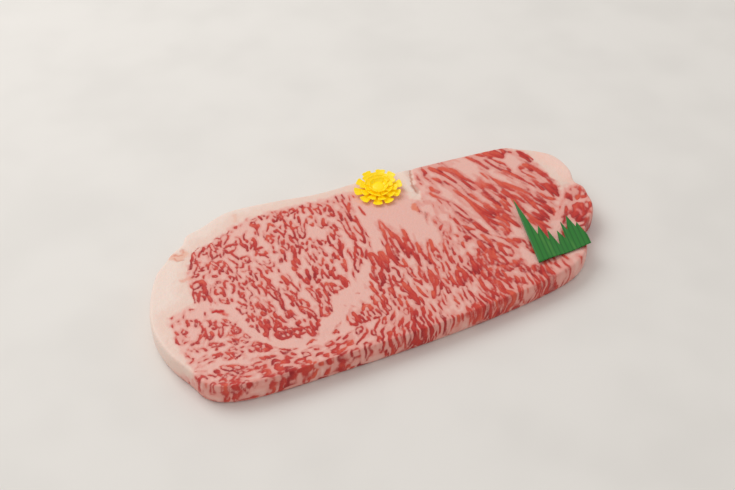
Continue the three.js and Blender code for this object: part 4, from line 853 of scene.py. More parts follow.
    def _pale_core(self, cover: Array, crowds: Array, rightwards: Array, solid: Array) -> Array:
        """How much the middle of a fleck pales, which it does least in the middle muscle's flames.

        Args:
            cover: Depth inside the flecks.
            crowds: Noise that pales some places more than others.
            rightwards: 0 on the left, where flecks pale most, to 1 on the right.
            solid: 1 where the lean stays solid.

        Returns:
            What to take from the depth.
        """
        x, y = self.lattice.x, self.lattice.y
        flames = smooth_step(-14, -8, x) * smooth_step(-42, -34, -x) * smooth_step(-16, -8, -y)
        core = smooth_step(*self.core_edge, cover) * (0.5 + 0.25 * crowds.clip(-1.5, 1.5))
        return core * (1 - 0.6 * rightwards) * (1 - np.maximum(solid, 0.85 * flames))

    def _fat(self, ragged: Array) -> Array:
        """Marks the fat patches and seams.

        Args:
            ragged: Noise that frays their edges.

        Returns:
            1 in the fat and 0 out of it.
        """
        x, y = self.lattice.x, self.lattice.y
        fat = np.zeros(x.shape)
        for patch in FAT_PATCHES:
            fat = np.maximum(fat, smooth_step(-0.4, 1.6, depth_inside(patch, x, y) + 0.35 * ragged))
        for path, half in FAT_SEAMS:
            inside = half - distance_to_path(path, x, y) + 0.3 * ragged
            fat = np.maximum(fat, smooth_step(-1.0, 0.8, inside))
        return fat

    def _streaks(self, rng: np.random.Generator, grain: Grain) -> Array:
        """Fine noise drawn out along the grain.

        Args:
            rng: Where the random draws come from.
            grain: The grain to follow.

        Returns:
            Noise of mean 0 and spread 1.
        """
        lattice = self.lattice
        length = np.maximum(grain.length, 5)
        bend = lattice.mottle(rng, 2.2) * np.clip(2.0 / length, 0.05, 0.38)
        bend = bend + 0.06 * lattice.mottle(rng, 8)
        noise = rng.standard_normal(lattice.x.shape)
        right = np.sin(grain.lean_over + bend)
        up = np.cos(grain.lean_over + bend)
        total = noise.copy()
        # The noise is added up along the grain, both ways, with less and less weight
        for way in (1, -1):
            x, y = lattice.x, lattice.y
            for step in range(1, self.hops + 1):
                hop = way * 0.6 * length / self.hops
                x, y = x + lattice.read(right, x, y) * hop, y + lattice.read(up, x, y) * hop
                weight = 0.5 + 0.5 * math.cos(math.pi * step / (self.hops + 1))
                total += lattice.read(noise, x, y) * weight
        fine, broad = (lattice.blur(total, reach) for reach in self.vein_span)
        return (fine - broad) / np.sqrt(lattice.blur((fine - broad) ** 2, 7.0))

    def _mark(self, marks: tuple[Array, Array], part: tuple[slice, slice], depth: Array, tone: Array) -> None:
        """Marks a fleck's depth and tone where it lies over the flecks marked before it.

        Args:
            marks: The depth and the tone on the whole lattice, which change.
            part: The part of the lattice that the fleck can reach.
            depth: The depth inside the fleck there.
            tone: The fleck's tone there.
        """
        nearer = depth > marks[0][part]
        for whole, values in zip(marks, (depth, tone)):
            whole[part] = np.where(nearer, values, whole[part])

    def _drawn_flecks(self) -> tuple[Array, Array]:
        """The flecks drawn one by one, which narrow towards their ends.

        Returns:
            The depth inside the nearest fleck, below zero between them, and its tone.
        """
        lattice = self.lattice
        marks = np.full(lattice.x.shape, -3.0), np.zeros(lattice.x.shape)
        for kind, rows in FLECKS.items():
            brightness, strength = kind.value
            for half, *places in rows:
                path = np.array(places).reshape(-1, 2)
                low, high = path.min(0), path.max(0)
                part = lattice.window(*(low + high) / 2, max(high - low) / 2 + 4)
                x, y = lattice.x[part], lattice.y[part]
                stretches = np.hypot(*(path[1:] - path[:-1]).T)
                starts = np.concatenate(([0], np.cumsum(stretches))) / stretches.sum()
                height = (y - low[1]) / max(high[1] - low[1], 1.5)
                for k, (start, end) in enumerate(zip(path, path[1:])):
                    way = end - start
                    along = np.clip(((x - start[0]) * way[0] + (y - start[1]) * way[1]) / (way @ way), 0, 1)
                    share = starts[k] + (starts[k + 1] - starts[k]) * along
                    # Narrower towards both ends, and brighter towards the upper one: partly the lean's own
                    # colour, partly painted light from the key light behind
                    swell = 0.45 + 0.55 * np.sqrt(np.sin(math.pi * (0.07 + 0.86 * share)))
                    far = np.hypot(x - start[0] - along * way[0], y - start[1] - along * way[1])
                    depth = half * swell * strength - far
                    self._mark(marks, part, depth, brightness + 0.55 * (2 * height.clip(0, 1) - 1))
        return marks

    def _scatter(self, rng: np.random.Generator, grain: Grain, drawn: Array, fat: Array) -> list[Fleck]:
        """Throws small flecks at the muscles and keeps those that clear their neighbours.

        Args:
            rng: Where the random draws come from.
            grain: The grain to follow.
            drawn: Depth inside the large flecks.
            fat: 1 where no fleck may lie.

        Returns:
            The flecks kept.
        """
        lattice = self.lattice
        x = rng.uniform(*self.x_span, self.tries)
        y = rng.uniform(*self.y_span, self.tries)
        ways = [np.cos(grain.lean_over), np.sin(grain.lean_over)]
        fields = [*ways, grain.length, grain.width, grain.share, grain.loops, drawn, fat]
        read = np.array([lattice.read(values, x, y) for values in fields]).T
        sizes = rng.uniform(*self.size_span, (self.tries, 2))
        draws = rng.uniform(0, 1, (self.tries, 3))
        kept: list[Fleck] = []
        taken = np.zeros((self.tries, 4))
        for k in range(self.tries):
            cosine, sine, length, width, share, loops, cover, closed = read[k]
            if closed > 0.5 or cover > -0.5:
                continue
            loop = draws[k, 0] < self.loop_share * loops
            width_share, length_share = self.loop_size if loop else self.plain_size
            half_width = width_share * width * sizes[k, 0]
            half_length = length_share * length * sizes[k, 1]
            filled = math.pi / 4 * (self.loop_fill if loop else 1.0)
            room = math.sqrt(filled / max(share, 0.04))
            others = taken[: len(kept)]
            dx = x[k] - others[:, 0]
            dy = y[k] - others[:, 1]
            across = (dx * cosine - dy * sine) / (half_width * room + others[:, 2])
            along = (dx * sine + dy * cosine) / (half_length * room + others[:, 3])
            if kept and np.min(across**2 + along**2) < self.clearance:
                continue
            taken[len(kept)] = x[k], y[k], half_width * room, half_length * room
            kept.append(Fleck(x[k], y[k], cosine, sine, half_length, half_width, loop, *draws[k, 1:]))
        return kept

    def _stamp(self, flecks: list[Fleck], warp: list[Array]) -> tuple[Array, Array]:
        """Marks the small flecks on the lattice.

        Args:
            flecks: The flecks to mark.
            warp: Shifts along x and y that make their outlines uneven.

        Returns:
            The depth inside the nearest fleck, below zero between them, and its tone.
        """
        lattice = self.lattice
        marks = np.full(lattice.x.shape, -3.0), np.zeros(lattice.x.shape)
        for fleck in flecks:
            part = lattice.window(fleck.x, fleck.y, fleck.half_length + 3)
            x = lattice.x[part] + warp[0][part] - fleck.x
            y = lattice.y[part] + warp[1][part] - fleck.y
            along = (x * fleck.sine + y * fleck.cosine) / fleck.half_length
            bow = (fleck.bend - 0.5) * 0.9 * fleck.half_width
            across = x * fleck.cosine - y * fleck.sine + bow * along**2
            taper = 1 + 0.4 * (fleck.wall - 0.25) * along
            radius = np.sqrt((across / (fleck.half_width * taper)) ** 2 + np.abs(along) ** 2.4)
            depth = (1 - radius) * fleck.half_width
            if fleck.loop:
                # A wall round a paler core, open at one end
                wall = 0.30 + 0.14 * fleck.bend
                opening = -along if fleck.wall > 0.35 else along
                edge = wall - np.abs(depth - wall) - 0.55 * smooth_step(0.35, 0.95, opening)
                core = (-0.5 + 0.45 * fleck.bend) * np.minimum(1, (depth - wall) / 0.3)
                depth = np.where(depth > wall, np.maximum(edge, core), edge)
            # The tone rises towards the fleck's upper end, partly the lean's own colour and partly painted
            # light from behind
            self._mark(marks, part, depth, fleck.bend - 0.5 + 0.5 * along.clip(-1, 1))
        return marks


@dataclass(frozen=True)
class Stain:
    """A soft patch of colour that follows a short line on the face."""

    tint: tuple[float, float, float]
    path: tuple[Point, ...]
    half: float
    soft: float
    strength: float


# Silverskin, blood spots, scraps of lean in the fat cap, a paler spot in the tail's muscle, and
# warmer or whiter fat
STAINS = (
    Stain((242, 220, 208), ((31.5, 52), (31.5, 44), (32.4, 37)), 1.6, 2.0, 0.85),
    Stain((198, 132, 112), ((38.8, 53), (36.4, 46.5), (34.2, 40), (33.7, 34)), 0.2, 0.7, 0.85),
    Stain((188, 126, 110), ((34.3, 38), (34.4, 33.4)), 0.7, 1.2, 0.6),
    Stain((250, 201, 186), ((112, 34), (115.5, 25), (117, 12)), 2.5, 5.0, 0.6),
    Stain((222, 96, 82), ((-88, -8.6), (-86, -10.5)), 0.5, 1.0, 0.7),
    Stain((196, 22, 20), ((-91.5, -7.1), (-87.6, -8.3)), 0.75, 0.7, 1.0),
    Stain((222, 112, 100), ((65, 24), (67.5, 27), (70, 29)), 0.6, 2.6, 0.6),
    Stain((232, 138, 134), ((106.2, -11.6), (107.4, -13.4), (106.3, -14.8)), 0.35, 1.5, 0.75),
    Stain((236, 170, 142), ((-99.6, 35), (-96.5, 34), (-94, 35)), 1.6, 1.6, 0.6),
    Stain((218, 116, 90), ((-99.5, 36), (-97.4, 35.2), (-94, 34.8)), 0.1, 0.8, 0.6),
    Stain((218, 116, 90), ((-95.3, 37.8), (-93.4, 38), (-93.1, 36)), 0.1, 0.7, 0.5),
    Stain((214, 112, 80), ((-99.4, 33.5), (-97.4, 31.8), (-94.6, 31.5)), 0.1, 0.7, 0.5),
    Stain((236, 182, 160), ((-62.6, 47.5), (-62, 52.5)), 0.3, 1.6, 0.5),
    Stain((234, 164, 144), ((-99.4, 17.7), (-95.2, 17.4)), 0.4, 1.6, 0.7),
    Stain((228, 118, 84), ((27, 20.4), (27.8, 24)), 0.8, 1.0, 0.8),
    Stain((186, 112, 104), ((28.2, 19), (29.2, 16.5)), 0.15, 0.5, 0.7),
    Stain((190, 118, 108), ((30.6, 16.5), (29.4, 12.8)), 0.15, 0.5, 0.7),
)


class Shade:
    """A number that changes over a surface: one socket of a material, with arithmetic on it."""

    def __init__(self, finish: "Finish", socket: bpy.types.NodeSocket) -> None:
        """Wraps a socket of a finish."""
        self.finish = finish
        self.socket = socket

    def _math(self, operation: str, first: "Shade | float", second: "Shade | float") -> "Shade":
        """Adds a Math node for an operation on two values."""
        return self.finish.shade("ShaderNodeMath", {"operation": operation}, {0: first, 1: second})

    def __add__(self, other: "Shade | float") -> "Shade":
        """Adds a value."""
        return self._math("ADD", self, other)

    def __sub__(self, other: "Shade | float") -> "Shade":
        """Takes a value away."""
        return self._math("SUBTRACT", self, other)

    def __rsub__(self, other: "Shade | float") -> "Shade":
        """Is taken away from a value."""
        return self._math("SUBTRACT", other, self)

    def __mul__(self, other: "Shade | float") -> "Shade":
        """Multiplies by a value."""
        return self._math("MULTIPLY", self, other)

    __radd__ = __add__
    __rmul__ = __mul__

    def sine(self) -> "Shade":
        """The sine of the value."""
        return self._math("SINE", self, 0.0)

    def power(self, exponent: float) -> "Shade":
        """The value to a power."""
        return self._math("POWER", self, exponent)

    def rise(self, low: float, high: float) -> "Shade":
        """The share of a rise with level ends, from 0 where the value is low to 1 where it is high."""
        sockets = {"Value": self, "From Min": low, "From Max": high}
        return self.finish.shade("ShaderNodeMapRange", {"interpolation_type": "SMOOTHSTEP"}, sockets)


class Finish:
    """A material with the methods that build its nodes."""

    noise_gain: float = 7.0  # brings the noise node's values, which lie close round a half, to a spread of 1

    def __init__(self, name: str) -> None:
        """Starts an empty material.

        Args:
            name: The material's name.
        """
        self.material = bpy.data.materials.new(name)
        self.material.use_nodes = True
        self.tree = self.material.node_tree
        self.tree.nodes.clear()
        self.place = self.node("ShaderNodeTexCoord").outputs["Object"]

    def node(
        self,
        kind: str,
        settings: dict[str, object] | None = None,
        sockets: dict[str | int, object] | None = None,
    ) -> bpy.types.Node:
        """Adds a node to the material.

        Args:
            kind: The node's type.
            settings: Its own properties, set first.
            sockets: Values or links of its input sockets, by name or number.

        Returns:
            The new node.
        """
        node = self.tree.nodes.new(kind)
        for name, value in (settings or {}).items():
            setattr(node, name, value)
        for name, value in (sockets or {}).items():
            source = value.socket if isinstance(value, Shade) else value
            if isinstance(source, bpy.types.NodeSocket):
                self.tree.links.new(source, node.inputs[name])
            else:
                node.inputs[name].default_value = source
        return node

    def shade(self, kind: str, settings: dict[str, object], sockets: dict[str | int, object]) -> Shade:
        """Adds a node and wraps its first output."""
        return Shade(self, self.node(kind, settings, sockets).outputs[0])

    def reading(self, name: str) -> Shade:
        """The mesh's own value of that name."""
        return Shade(self, self.node("ShaderNodeAttribute", {"attribute_name": name}).outputs["Fac"])

    def mottle(self, size: float, detail: float = 2.0, stretch: Sequence[float] = (1, 1, 1)) -> Shade:
        """Noise of about mean 0 and spread 1.

        Args:
            size: Size of its spots in millimetres.
            detail: Number of finer layers on it.
            stretch: How many times closer its spots lie along each axis.

        Returns:
            The noise.
        """
        scaled = self.node("ShaderNodeVectorMath", {"operation": "MULTIPLY"}, {0: self.place, 1: stretch})
        sockets = {"Vector": scaled.outputs[0], "Scale": 1 / (size * MM), "Detail": detail}
        return (self.shade("ShaderNodeTexNoise", {}, sockets) - 0.5) * self.noise_gain

    def blend(self, first: object, second: object, share: Shade) -> bpy.types.NodeSocket:
        """Blends two colours, or their sockets, by the share of the second one."""
        node = self.node("ShaderNodeMix", {"data_type": "RGBA"}, {0: share, 6: first, 7: second})
        return node.outputs[2]

    def bump(self, height: Shade, depth: float) -> bpy.types.NodeSocket:
        """Bends the normal by a height, where 1 stands for the whole depth in millimetres."""
        node = self.node("ShaderNodeBump", None, {"Strength": 1.0, "Distance": depth * MM, "Height": height})
        return node.outputs[0]

    def surface(self, sockets: dict[str, object]) -> bpy.types.Material:
        """Ends the material with its surface shader.

        Args:
            sockets: Values or links of the shader's sockets.

        Returns:
            The material.
        """
        shader = self.node("ShaderNodeBsdfPrincipled", None, sockets)
        self.node("ShaderNodeOutputMaterial", None, {"Surface": shader.outputs[0]})
        return self.material


@dataclass(frozen=True)
class MarbledBeef:
    """Moist raw beef: red flecks in pale pink fat, beside a whiter fat cap."""

    fat: Colour = colour(236, 183, 171)
    fat_by_lean: Colour = colour(226, 146, 134)
    lean: Colour = colour(197, 58, 50)
    deep_lean: Colour = colour(158, 34, 37)
    bright_lean: Colour = colour(219, 92, 70)
    cap: Colour = colour(238, 207, 193)
    outer_cap: Colour = colour(242, 219, 207)
    lean_edge: Point = (-0.34, 0.34)
    lean_glow: Point = (-1.9, -0.2)  # over which the fat reddens towards the lean
    cap_edge: Point = (-2.0, 0.6)
    outer_edge: Point = (1.0, 8.0)
    roughness: float = 0.42
    relief: float = 0.18
    gloss: float = 0.24

    def material(self) -> bpy.types.Material:
        """Builds the material from the values that the slice's mesh carries.

        Returns:
            The material.
        """
        finish = Finish("marbled_beef")
        fine = finish.mottle(0.9)
        level = finish.reading("lean") + fine * 0.06
        outside = finish.reading("outside") + finish.mottle(2.5) * 0.25
        tone = finish.reading("tone") + finish.mottle(6.0, 1.0) * 0.2
        fat = finish.blend(self.fat, self.fat_by_lean, level.rise(*self.lean_glow) * 0.72)
        # The tone, which holds painted light at the flecks' upper ends as well as their own colour, blends
        # the lean from deep to bright
        lean = finish.blend(self.lean, self.deep_lean, (0.0 - tone).rise(-0.1, 1.2))
        lean = finish.blend(lean, self.bright_lean, tone.rise(-0.1, 1.1))
        in_lean = level.rise(*self.lean_edge)
        outer_share = (outside + finish.mottle(9.0, 1.0)).rise(*self.outer_edge)
        cap = finish.blend(self.cap, self.outer_cap, outer_share)
        base = finish.blend(fat, cap, outside.rise(*self.cap_edge))
        base = finish.blend(base, lean, in_lean)
        stain = finish.node("ShaderNodeAttribute", {"attribute_name": "stain"})
        base = finish.blend(base, stain.outputs["Color"], Shade(finish, stain.outputs["Alpha"]))
        height = fine * 0.12 + finish.mottle(2.2) * 0.2 - in_lean * 0.45
        return finish.surface({
            "Base Color": base,
            "Roughness": self.roughness - in_lean * 0.06 + fine * 0.04,
            "Normal": finish.bump(height, self.relief),
            "Specular IOR Level": self.gloss,
            "Subsurface Weight": 0.08,
            "Subsurface Radius": (1.0, 0.45, 0.3),
            "Subsurface Scale": 0.9 * MM,
        })


@dataclass(frozen=True)
class YellowPlastic:
    """Satin moulded plastic, with painted shade that deepens its colour at the petals' roots and between the
    petals, and a painted glow.
    """

    petal: Colour = colour(250, 218, 18)
    # The root and gap colours are painted shade at the petals' roots and where the petals meet
    root: Colour = colour(245, 206, 12)
    gap_shade: Colour = colour(198, 92, 14)
    glow: float = 0.17  # stands for the light that the thin petals let through
    roughness: float = 0.36
    relief: float = 0.02
    gloss: float = 0.35

    def material(self) -> bpy.types.Material:
        """Builds the material from the petals' own values.

        Returns:
            The material.
        """
        finish = Finish("yellow_plastic")
        reach = finish.reading("reach") + finish.mottle(3.0, 1.0) * 0.03
        # Painted shade: the colour deepens from the tips towards the roots, and to a deep orange at the roots
        # between the petals
        base = finish.blend(self.root, self.petal, reach.rise(0.0, 0.5))
        base = finish.blend(self.gap_shade, base, reach.rise(-0.3, 0.2))
        return finish.surface({
            "Base Color": base,
            "Roughness": self.roughness + finish.mottle(0.8) * 0.03,
            "Normal": finish.bump(finish.mottle(0.7), self.relief),
            "Specular IOR Level": self.gloss,
            # A painted glow that stands for the light passing through the thin petals
            "Emission Color": base,
            "Emission Strength": self.glow,
        })


@dataclass(frozen=True)
class GreenPlastic:
    """Ribbed green film."""

    film: Colour = colour(44, 120, 46)
    groove: Colour = colour(28, 88, 34)
    light: Colour = colour(78, 138, 58)
    pitch: float = 2.5
    rib_depth: float = 0.05
    roughness: float = 0.34
    gloss: float = 0.3

    def material(self) -> bpy.types.Material:
        """Builds the material from the leaf's own values.

        Returns:
            The material.
        """
        finish = Finish("green_plastic")
        ribs = (finish.reading("across") * (2 * math.pi / self.pitch)).sine() * 0.5 + 0.5
        light = finish.mottle(5.0, 1.0, (1, 0.3, 1)).rise(0.0, 1.6) * (1.0 - ribs) * 0.75
        base = finish.blend(self.film, self.groove, ribs.power(6.0) * 0.7)
        base = finish.blend(base, self.light, light)
        return finish.surface({
            "Base Color": base,
            "Roughness": self.roughness + finish.mottle(1.2) * 0.02,
            "Normal": finish.bump(0.0 - ribs, self.rib_depth),
            "Specular IOR Level": self.gloss,
        })


@dataclass(frozen=True)
class PalePaint:
    """Plain pale matt paint for the floor."""

    paint: Colour = colour(233, 229, 224)
    darker_paint: Colour = colour(228, 224, 219)
    cloud_size: float = 60.0
    roughness: float = 0.8

    def material(self) -> bpy.types.Material:
        """Builds the material.

        Returns:
            The material.
        """
        finish = Finish("pale_paint")
        base = finish.blend(self.paint, self.darker_paint, finish.mottle(self.cloud_size).rise(-1.0, 1.5))
        return finish.surface({"Base Color": base, "Roughness": self.roughness})


class Slot(Enum):
    """The record's material slots."""

    BEEF = "marbled_beef"
    YELLOW = "yellow_plastic"
    GREEN = "green_plastic"


@dataclass
class Sculpt:
    """Points and faces of a piece in the making, in millimetres."""

    points: list[Array] = field(default_factory=list)
    faces: list[tuple[int, ...]] = field(default_factory=list)
    count: int = 0

    def add_points(self, points: Array) -> int:
        """Adds points.

        Args:
            points: Their places, one row each.

        Returns:
            The number of the first one.
        """
        first = self.count
        self.points.append(np.asarray(points, float))
        self.count += len(points)
        return first

    def join_rings(self, first: int, rings: int, around: int) -> None:
        """Joins closed rings of points that follow each other.

        Args:
            first: Number of the first ring's first point.
            rings: Number of rings.
            around: Number of points in each.
        """
        for ring in range(rings - 1):
            start = first + ring * around
            for i in range(around):
                after = (i + 1) % around
                self.faces.append((start + i, start + after, start + around + after, start + around + i))

    def cap_ring(self, first: int, around: int, centre: int, outwards: bool) -> None:
        """Closes a ring of points towards a centre.

        Args:
            first: Number of the ring's first point.
            around: Number of points in it.
            centre: Number of the centre point.
            outwards: Whether the ring runs round the way that its lid looks.
        """
        for i in range(around):
            a, b = first + i, first + (i + 1) % around
            self.faces.append((a, b, centre) if outwards else (b, a, centre))

    def add_tube(self, points: Array, around: int, ends: Sequence[Sequence[float]]) -> None:
        """Adds a tube that is closed at both ends.

        Args:
            points: Its points, ring after ring.
            around: Number of points in a ring.
            ends: The middle of its first and of its last ring's lid.
        """
        first = self.add_points(points)
        self.join_rings(first, len(points) // around, around)
        last = first + len(points) - around
        for ring, end, outwards in ((first, ends[0], False), (last, ends[1], True)):
            centre = self.add_points(np.array([end]))
            self.cap_ring(ring, around, centre, outwards)

    def to_object(self, name: str, shift: Array) -> bpy.types.Object:
        """Makes the object, in metres.

        Args:
            name: The object's name.
            shift: From the outline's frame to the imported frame, in millimetres.

        Returns:
            The object, in the scene.
        """
        mesh = bpy.data.meshes.new(name)
        places = (np.concatenate(self.points) + shift) * MM
        mesh.from_pydata(places.tolist(), [], self.faces)
        mesh.polygons.foreach_set("use_smooth", np.ones(len(mesh.polygons), bool))
        mesh.update()
        piece = bpy.data.objects.new(name, mesh)
        bpy.context.collection.objects.link(piece)
        return piece


def carry_values(piece: bpy.types.Object, name: str, values: Array) -> None:
    """Stores one number for each of a mesh's points, under its name in the material."""
    store = piece.data.attributes.new(name, "FLOAT", "POINT")
    store.data.foreach_set("value", np.asarray(values, np.float32))


def declare(piece: bpy.types.Object, node: str, material: bpy.types.Material) -> None:
    """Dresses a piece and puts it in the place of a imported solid.

    Args:
        piece: The object.
        node: The solid that it replaces.
        material: Its finish.
    """
    piece.data.materials.append(material)
    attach(piece, "root")
    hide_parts(node)
    LOG.info("%s: %d points, %d faces", piece.name, len(piece.data.vertices), len(piece.data.polygons))


@dataclass
class Slice:
    """The slice of sirloin, whose cut face has low swells, and grooves along its main seams."""

    thickness: float = 12.9
    thickness_rise: float = 0.0255  # for each millimetre towards the fat cap
    rim_round: float = 1.5
    foot_round: float = 1.6
    squareness: float = 3.0
    trim: float = 0.05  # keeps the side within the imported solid's box
    outline_steps: int = 60
    around: int = 1000
    side_rows: int = 12
    face_step: Point = (0.56, 0.7)
    foot_step: Point = (1.15, 1.15)
    lean_sink: float = 0.10
    side_slant: float = 0.5  # how much further in the marbling is read for each millimetre down
    wobbles: tuple[Row, ...] = ((0.16, 3.1, 2.3), (0.1, 1.7, -1.9))  # strength, reach along and down
    stain_fade: Point = (0, 7)
    swells: tuple[Row, ...] = ((0.3, 31, 23, 0.6, 0.2), (0.16, 12, 15, 2.1, 1.3))
    grooves: tuple[tuple[Path2D, float, float], ...] = (
        ([(-100, 2), (-85, -8), (-80, -20), (-74, -33), (-60, -42), (-42, -43)], 0.35, 3),
        ([(39, 52), (36, 46), (34, 40), (33.5, 31)], 0.5, 1.8),
        ([(82, -30), (92, -12), (100, -2), (106, 5), (117, 9)], 0.45, 3),
        ([(112, -16), (105, -21), (99, -18), (101, -9), (112, -4)], 0.45, 2.5),
    )
    marbling: Marbling = field(default_factory=Marbling)

    def __post_init__(self) -> None:
        """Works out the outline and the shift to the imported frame."""
        self.edge, self.inwards = self._outline()
        box = np.array(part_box("steak")) / MM
        middle = (self.edge.min(0) + self.edge.max(0)) / 2
        self.shift = np.array([*((box[0] + box[1])[:2] / 2 - middle), 0.0])

    def _outline(self) -> tuple[Array, Array]:
        """Follows a smooth curve through the outline's points.

        Returns:
            Evenly spaced points on it, and the way inwards at each.
        """
        knots = np.array(OUTLINE, float)
        share = np.linspace(0, 1, self.outline_steps, endpoint=False)[:, None]
        stretches = []
        for i in range(len(knots)):
            before, start, end, after = (knots[(i + k) % len(knots)] for k in (-1, 0, 1, 2))
            leave = (end - before) / 2
            arrive = (after - start) / 2
            cubic = 2 * start - 2 * end + leave + arrive
            square = 3 * (end - start) - 2 * leave - arrive
            stretches.append(((cubic * share + square) * share + leave) * share + start)
        dense = np.concatenate([*stretches, knots[:1]])
        run = np.concatenate(([0], np.cumsum(np.hypot(*np.diff(dense, axis=0).T))))
        self.spacing = run[-1] / self.around
        stations = np.arange(self.around) * self.spacing
        points = np.stack([np.interp(stations, run, dense[:, k]) for k in (0, 1)], axis=1)
        tangent = np.roll(points, -2, axis=0) - np.roll(points, 2, axis=0)
        tangent /= np.linalg.norm(tangent, axis=1)[:, None]
        return points, np.stack([-tangent[:, 1], tangent[:, 0]], axis=1)

    def face_height(self, x: Array, y: Array) -> Array:
        """Height of the cut face over the board, with its swells and seams.

        Args:
            x: Places along x.
            y: Places along y.

        Returns:
            The heights.
        """
        height = self.thickness + self.thickness_rise * y
        for swell, along_x, along_y, phase_x, phase_y in self.swells:
            height = height + swell * np.sin(x / along_x + phase_x) * np.cos(y / along_y + phase_y)
        groove = np.zeros(np.shape(x))
        for path, depth, reach in self.grooves:
            groove = np.maximum(groove, depth * np.exp(-((distance_to_path(path, x, y) / reach) ** 2)))
        return height - groove

    def _side(self) -> tuple[Array, Array]:
        """The rounded side from the foot to the rim.

        Returns:
            The share of the height and the way in, for each row.
        """
        turn = np.linspace(-1, 1, self.side_rows + 1)
        sine = np.sin(turn * math.pi / 2)
        cosine = np.maximum(np.cos(turn * math.pi / 2), 0)
        power = 2 / self.squareness
        height = 0.5 + 0.5 * np.sign(sine) * np.abs(sine) ** power
        rounding = np.where(turn < 0, self.foot_round, self.rim_round)
        return height, rounding * (1 - cosine**power) + self.trim

    def _fill(self, ring: Array, step: Point) -> tuple[Array, Array]:
        """Covers the inside of a ring with triangles of about one size.

        Args:
            ring: The ring's points.
            step: Spacing of the inner points along x and y.

        Returns:
            The inner points, and triangles of point numbers with the ring's points first.
        """
        low, high = ring.min(0), ring.max(0)
        columns = np.arange(low[0], high[0], step[0])
        rows = np.arange(low[1], high[1], step[1])
        x, y = np.meshgrid(columns, rows)
        x = x + (np.arange(len(rows)) % 2)[:, None] * step[0] / 2
        corners = [tuple(p) for p in ring[::4]]
        clear = depth_inside(corners, x, y) > 0.5 * max(step)
        inner = np.stack([x[clear], y[clear]], axis=1)
        points = [Vector(p) for p in np.concatenate([ring, inner]).tolist()]
        edges = [(i, (i + 1) % len(ring)) for i in range(len(ring))]
        _, _, faces, sources, *_ = delaunay_2d_cdt(points, edges, [], 1, 1e-6)
        return inner, np.array([[sources[i][0] for i in face] for face in faces])

    def _stains(self, x: Array, y: Array) -> Array:
        """Paints the stains.

        Args:
            x: Places along x.
            y: Places along y.

        Returns:
            Their colour and strength at each place.
        """
        paint = np.zeros((len(x), 4))
        ragged = [self.marbling.lattice.read(values, x, y) for values in self.marbling.fray]
        for stain in STAINS:
            far = distance_to_path(list(stain.path), x + ragged[0], y + ragged[1])
            share = stain.strength * (1 - smooth_step(stain.half, stain.half + stain.soft, far))
            total = share + paint[:, 3] * (1 - share)
            weight = np.divide(share, total, out=np.zeros_like(share), where=total > 0)[:, None]
            paint[:, :3] = paint[:, :3] * (1 - weight) + np.array(colour(*stain.tint)[:3]) * weight
            paint[:, 3] = total
        return paint

    def _close(self, sculpt: Sculpt, ring: Array, first: int, on_top: bool) -> None:
        """Closes a ring of the side with the cut face or the underside.

        Args:
            sculpt: Where its points and faces go.
            ring: The ring's points.
            first: Number of the ring's first point.
            on_top: Whether it is the cut face.
        """
        inner, triangles = self._fill(ring[:, :2], self.face_step if on_top else self.foot_step)
        height = self.face_height(*inner.T) if on_top else np.zeros(len(inner))
        first_inner = sculpt.add_points(np.column_stack([inner, height]))
        shifted = np.where(triangles < self.around, first, first_inner - self.around)
        numbers = triangles + shifted
        sculpt.faces += [tuple(t) if on_top else tuple(t[::-1]) for t in numbers.tolist()]

    def _reading_places(self, x: Array, y: Array, depth: Array) -> Array:
        """Where the marbling is read, which slants inwards and wobbles down the side.

        Args:
            x: The points' places along x, those of the side first.
            y: The points' places along y.
            depth: Depth of the side's points under the rim.

        Returns:
            The places along x and those along y.
        """
        count = len(depth)
        ways = np.tile(self.inwards, (count // self.around, 1))
        run = np.tile(np.arange(self.around) * self.spacing, count // self.around)
        wobble = sum(size * depth * np.sin(run / along + depth / down) for size, along, down in self.wobbles)
        places = np.array([x, y])
        places[0, :count] += ways[:, 0] * depth * self.side_slant + ways[:, 1] * wobble
        places[1, :count] += ways[:, 1] * depth * self.side_slant - ways[:, 0] * wobble
        return places

    def build(self) -> bpy.types.Object:
        """Makes and dresses the slice.

        Returns:
            The finished object.
        """
        sculpt = Sculpt()
        rows = []
        for share, inset in zip(*self._side()):
            ring = self.edge + self.inwards * inset
            rows.append(np.column_stack([ring, share * self.face_height(*ring.T)]))
        sculpt.add_points(np.concatenate(rows))
        sculpt.join_rings(0, len(rows), self.around)
        side_count = sculpt.count
        self._close(sculpt, rows[-1], side_count - self.around, True)
        face_end = sculpt.count
        self._close(sculpt, rows[0], 0, False)

        x, y, z = np.concatenate(sculpt.points).T
        depth = np.maximum(0, self.thickness - self.rim_round - z[:side_count])
        places = self._reading_places(x, y, depth)
        lattice = self.marbling.lattice
        lean = lattice.read(self.marbling.lean, *places)
        # On the cut face alone, the lean lies a little lower than the fat
        sink = self.lean_sink * smooth_step(-0.4, 0.8, lean)
        sink[:side_count] = 0
        sink[face_end:] = 0
        paint = self._stains(*places)
        paint[:side_count, 3] *= 1 - 0.75 * smooth_step(*self.stain_fade, depth)
        sculpt.points = [np.column_stack([x, y, z - sink])]
        piece = sculpt.to_object("sirloin_slice", self.shift)
        carry_values(piece, "lean", lean)
        carry_values(piece, "tone", lattice.read(self.marbling.tone, *places))
        carry_values(piece, "outside", lattice.read(self.marbling.outside, *places))
        stain = piece.data.attributes.new("stain", "FLOAT_COLOR", "POINT")
        stain.data.foreach_set("color", paint.astype(np.float32).ravel())
        declare(piece, "steak", MarbledBeef().material())
        return piece


@dataclass(frozen=True)
class PetalRing:
    """One ring of petals: how many, the points that set a petal's curve, its width and the ring's turn.

    The turn is a share of the step from petal to petal. Waist is a petal's width at its root and cup
    the rise of its sides, as shares of its full width.
    """

    count: int
    root: Point
    bend: Point
    tip: Point
    width: float
    turn: float
    waist: float
    cup: float


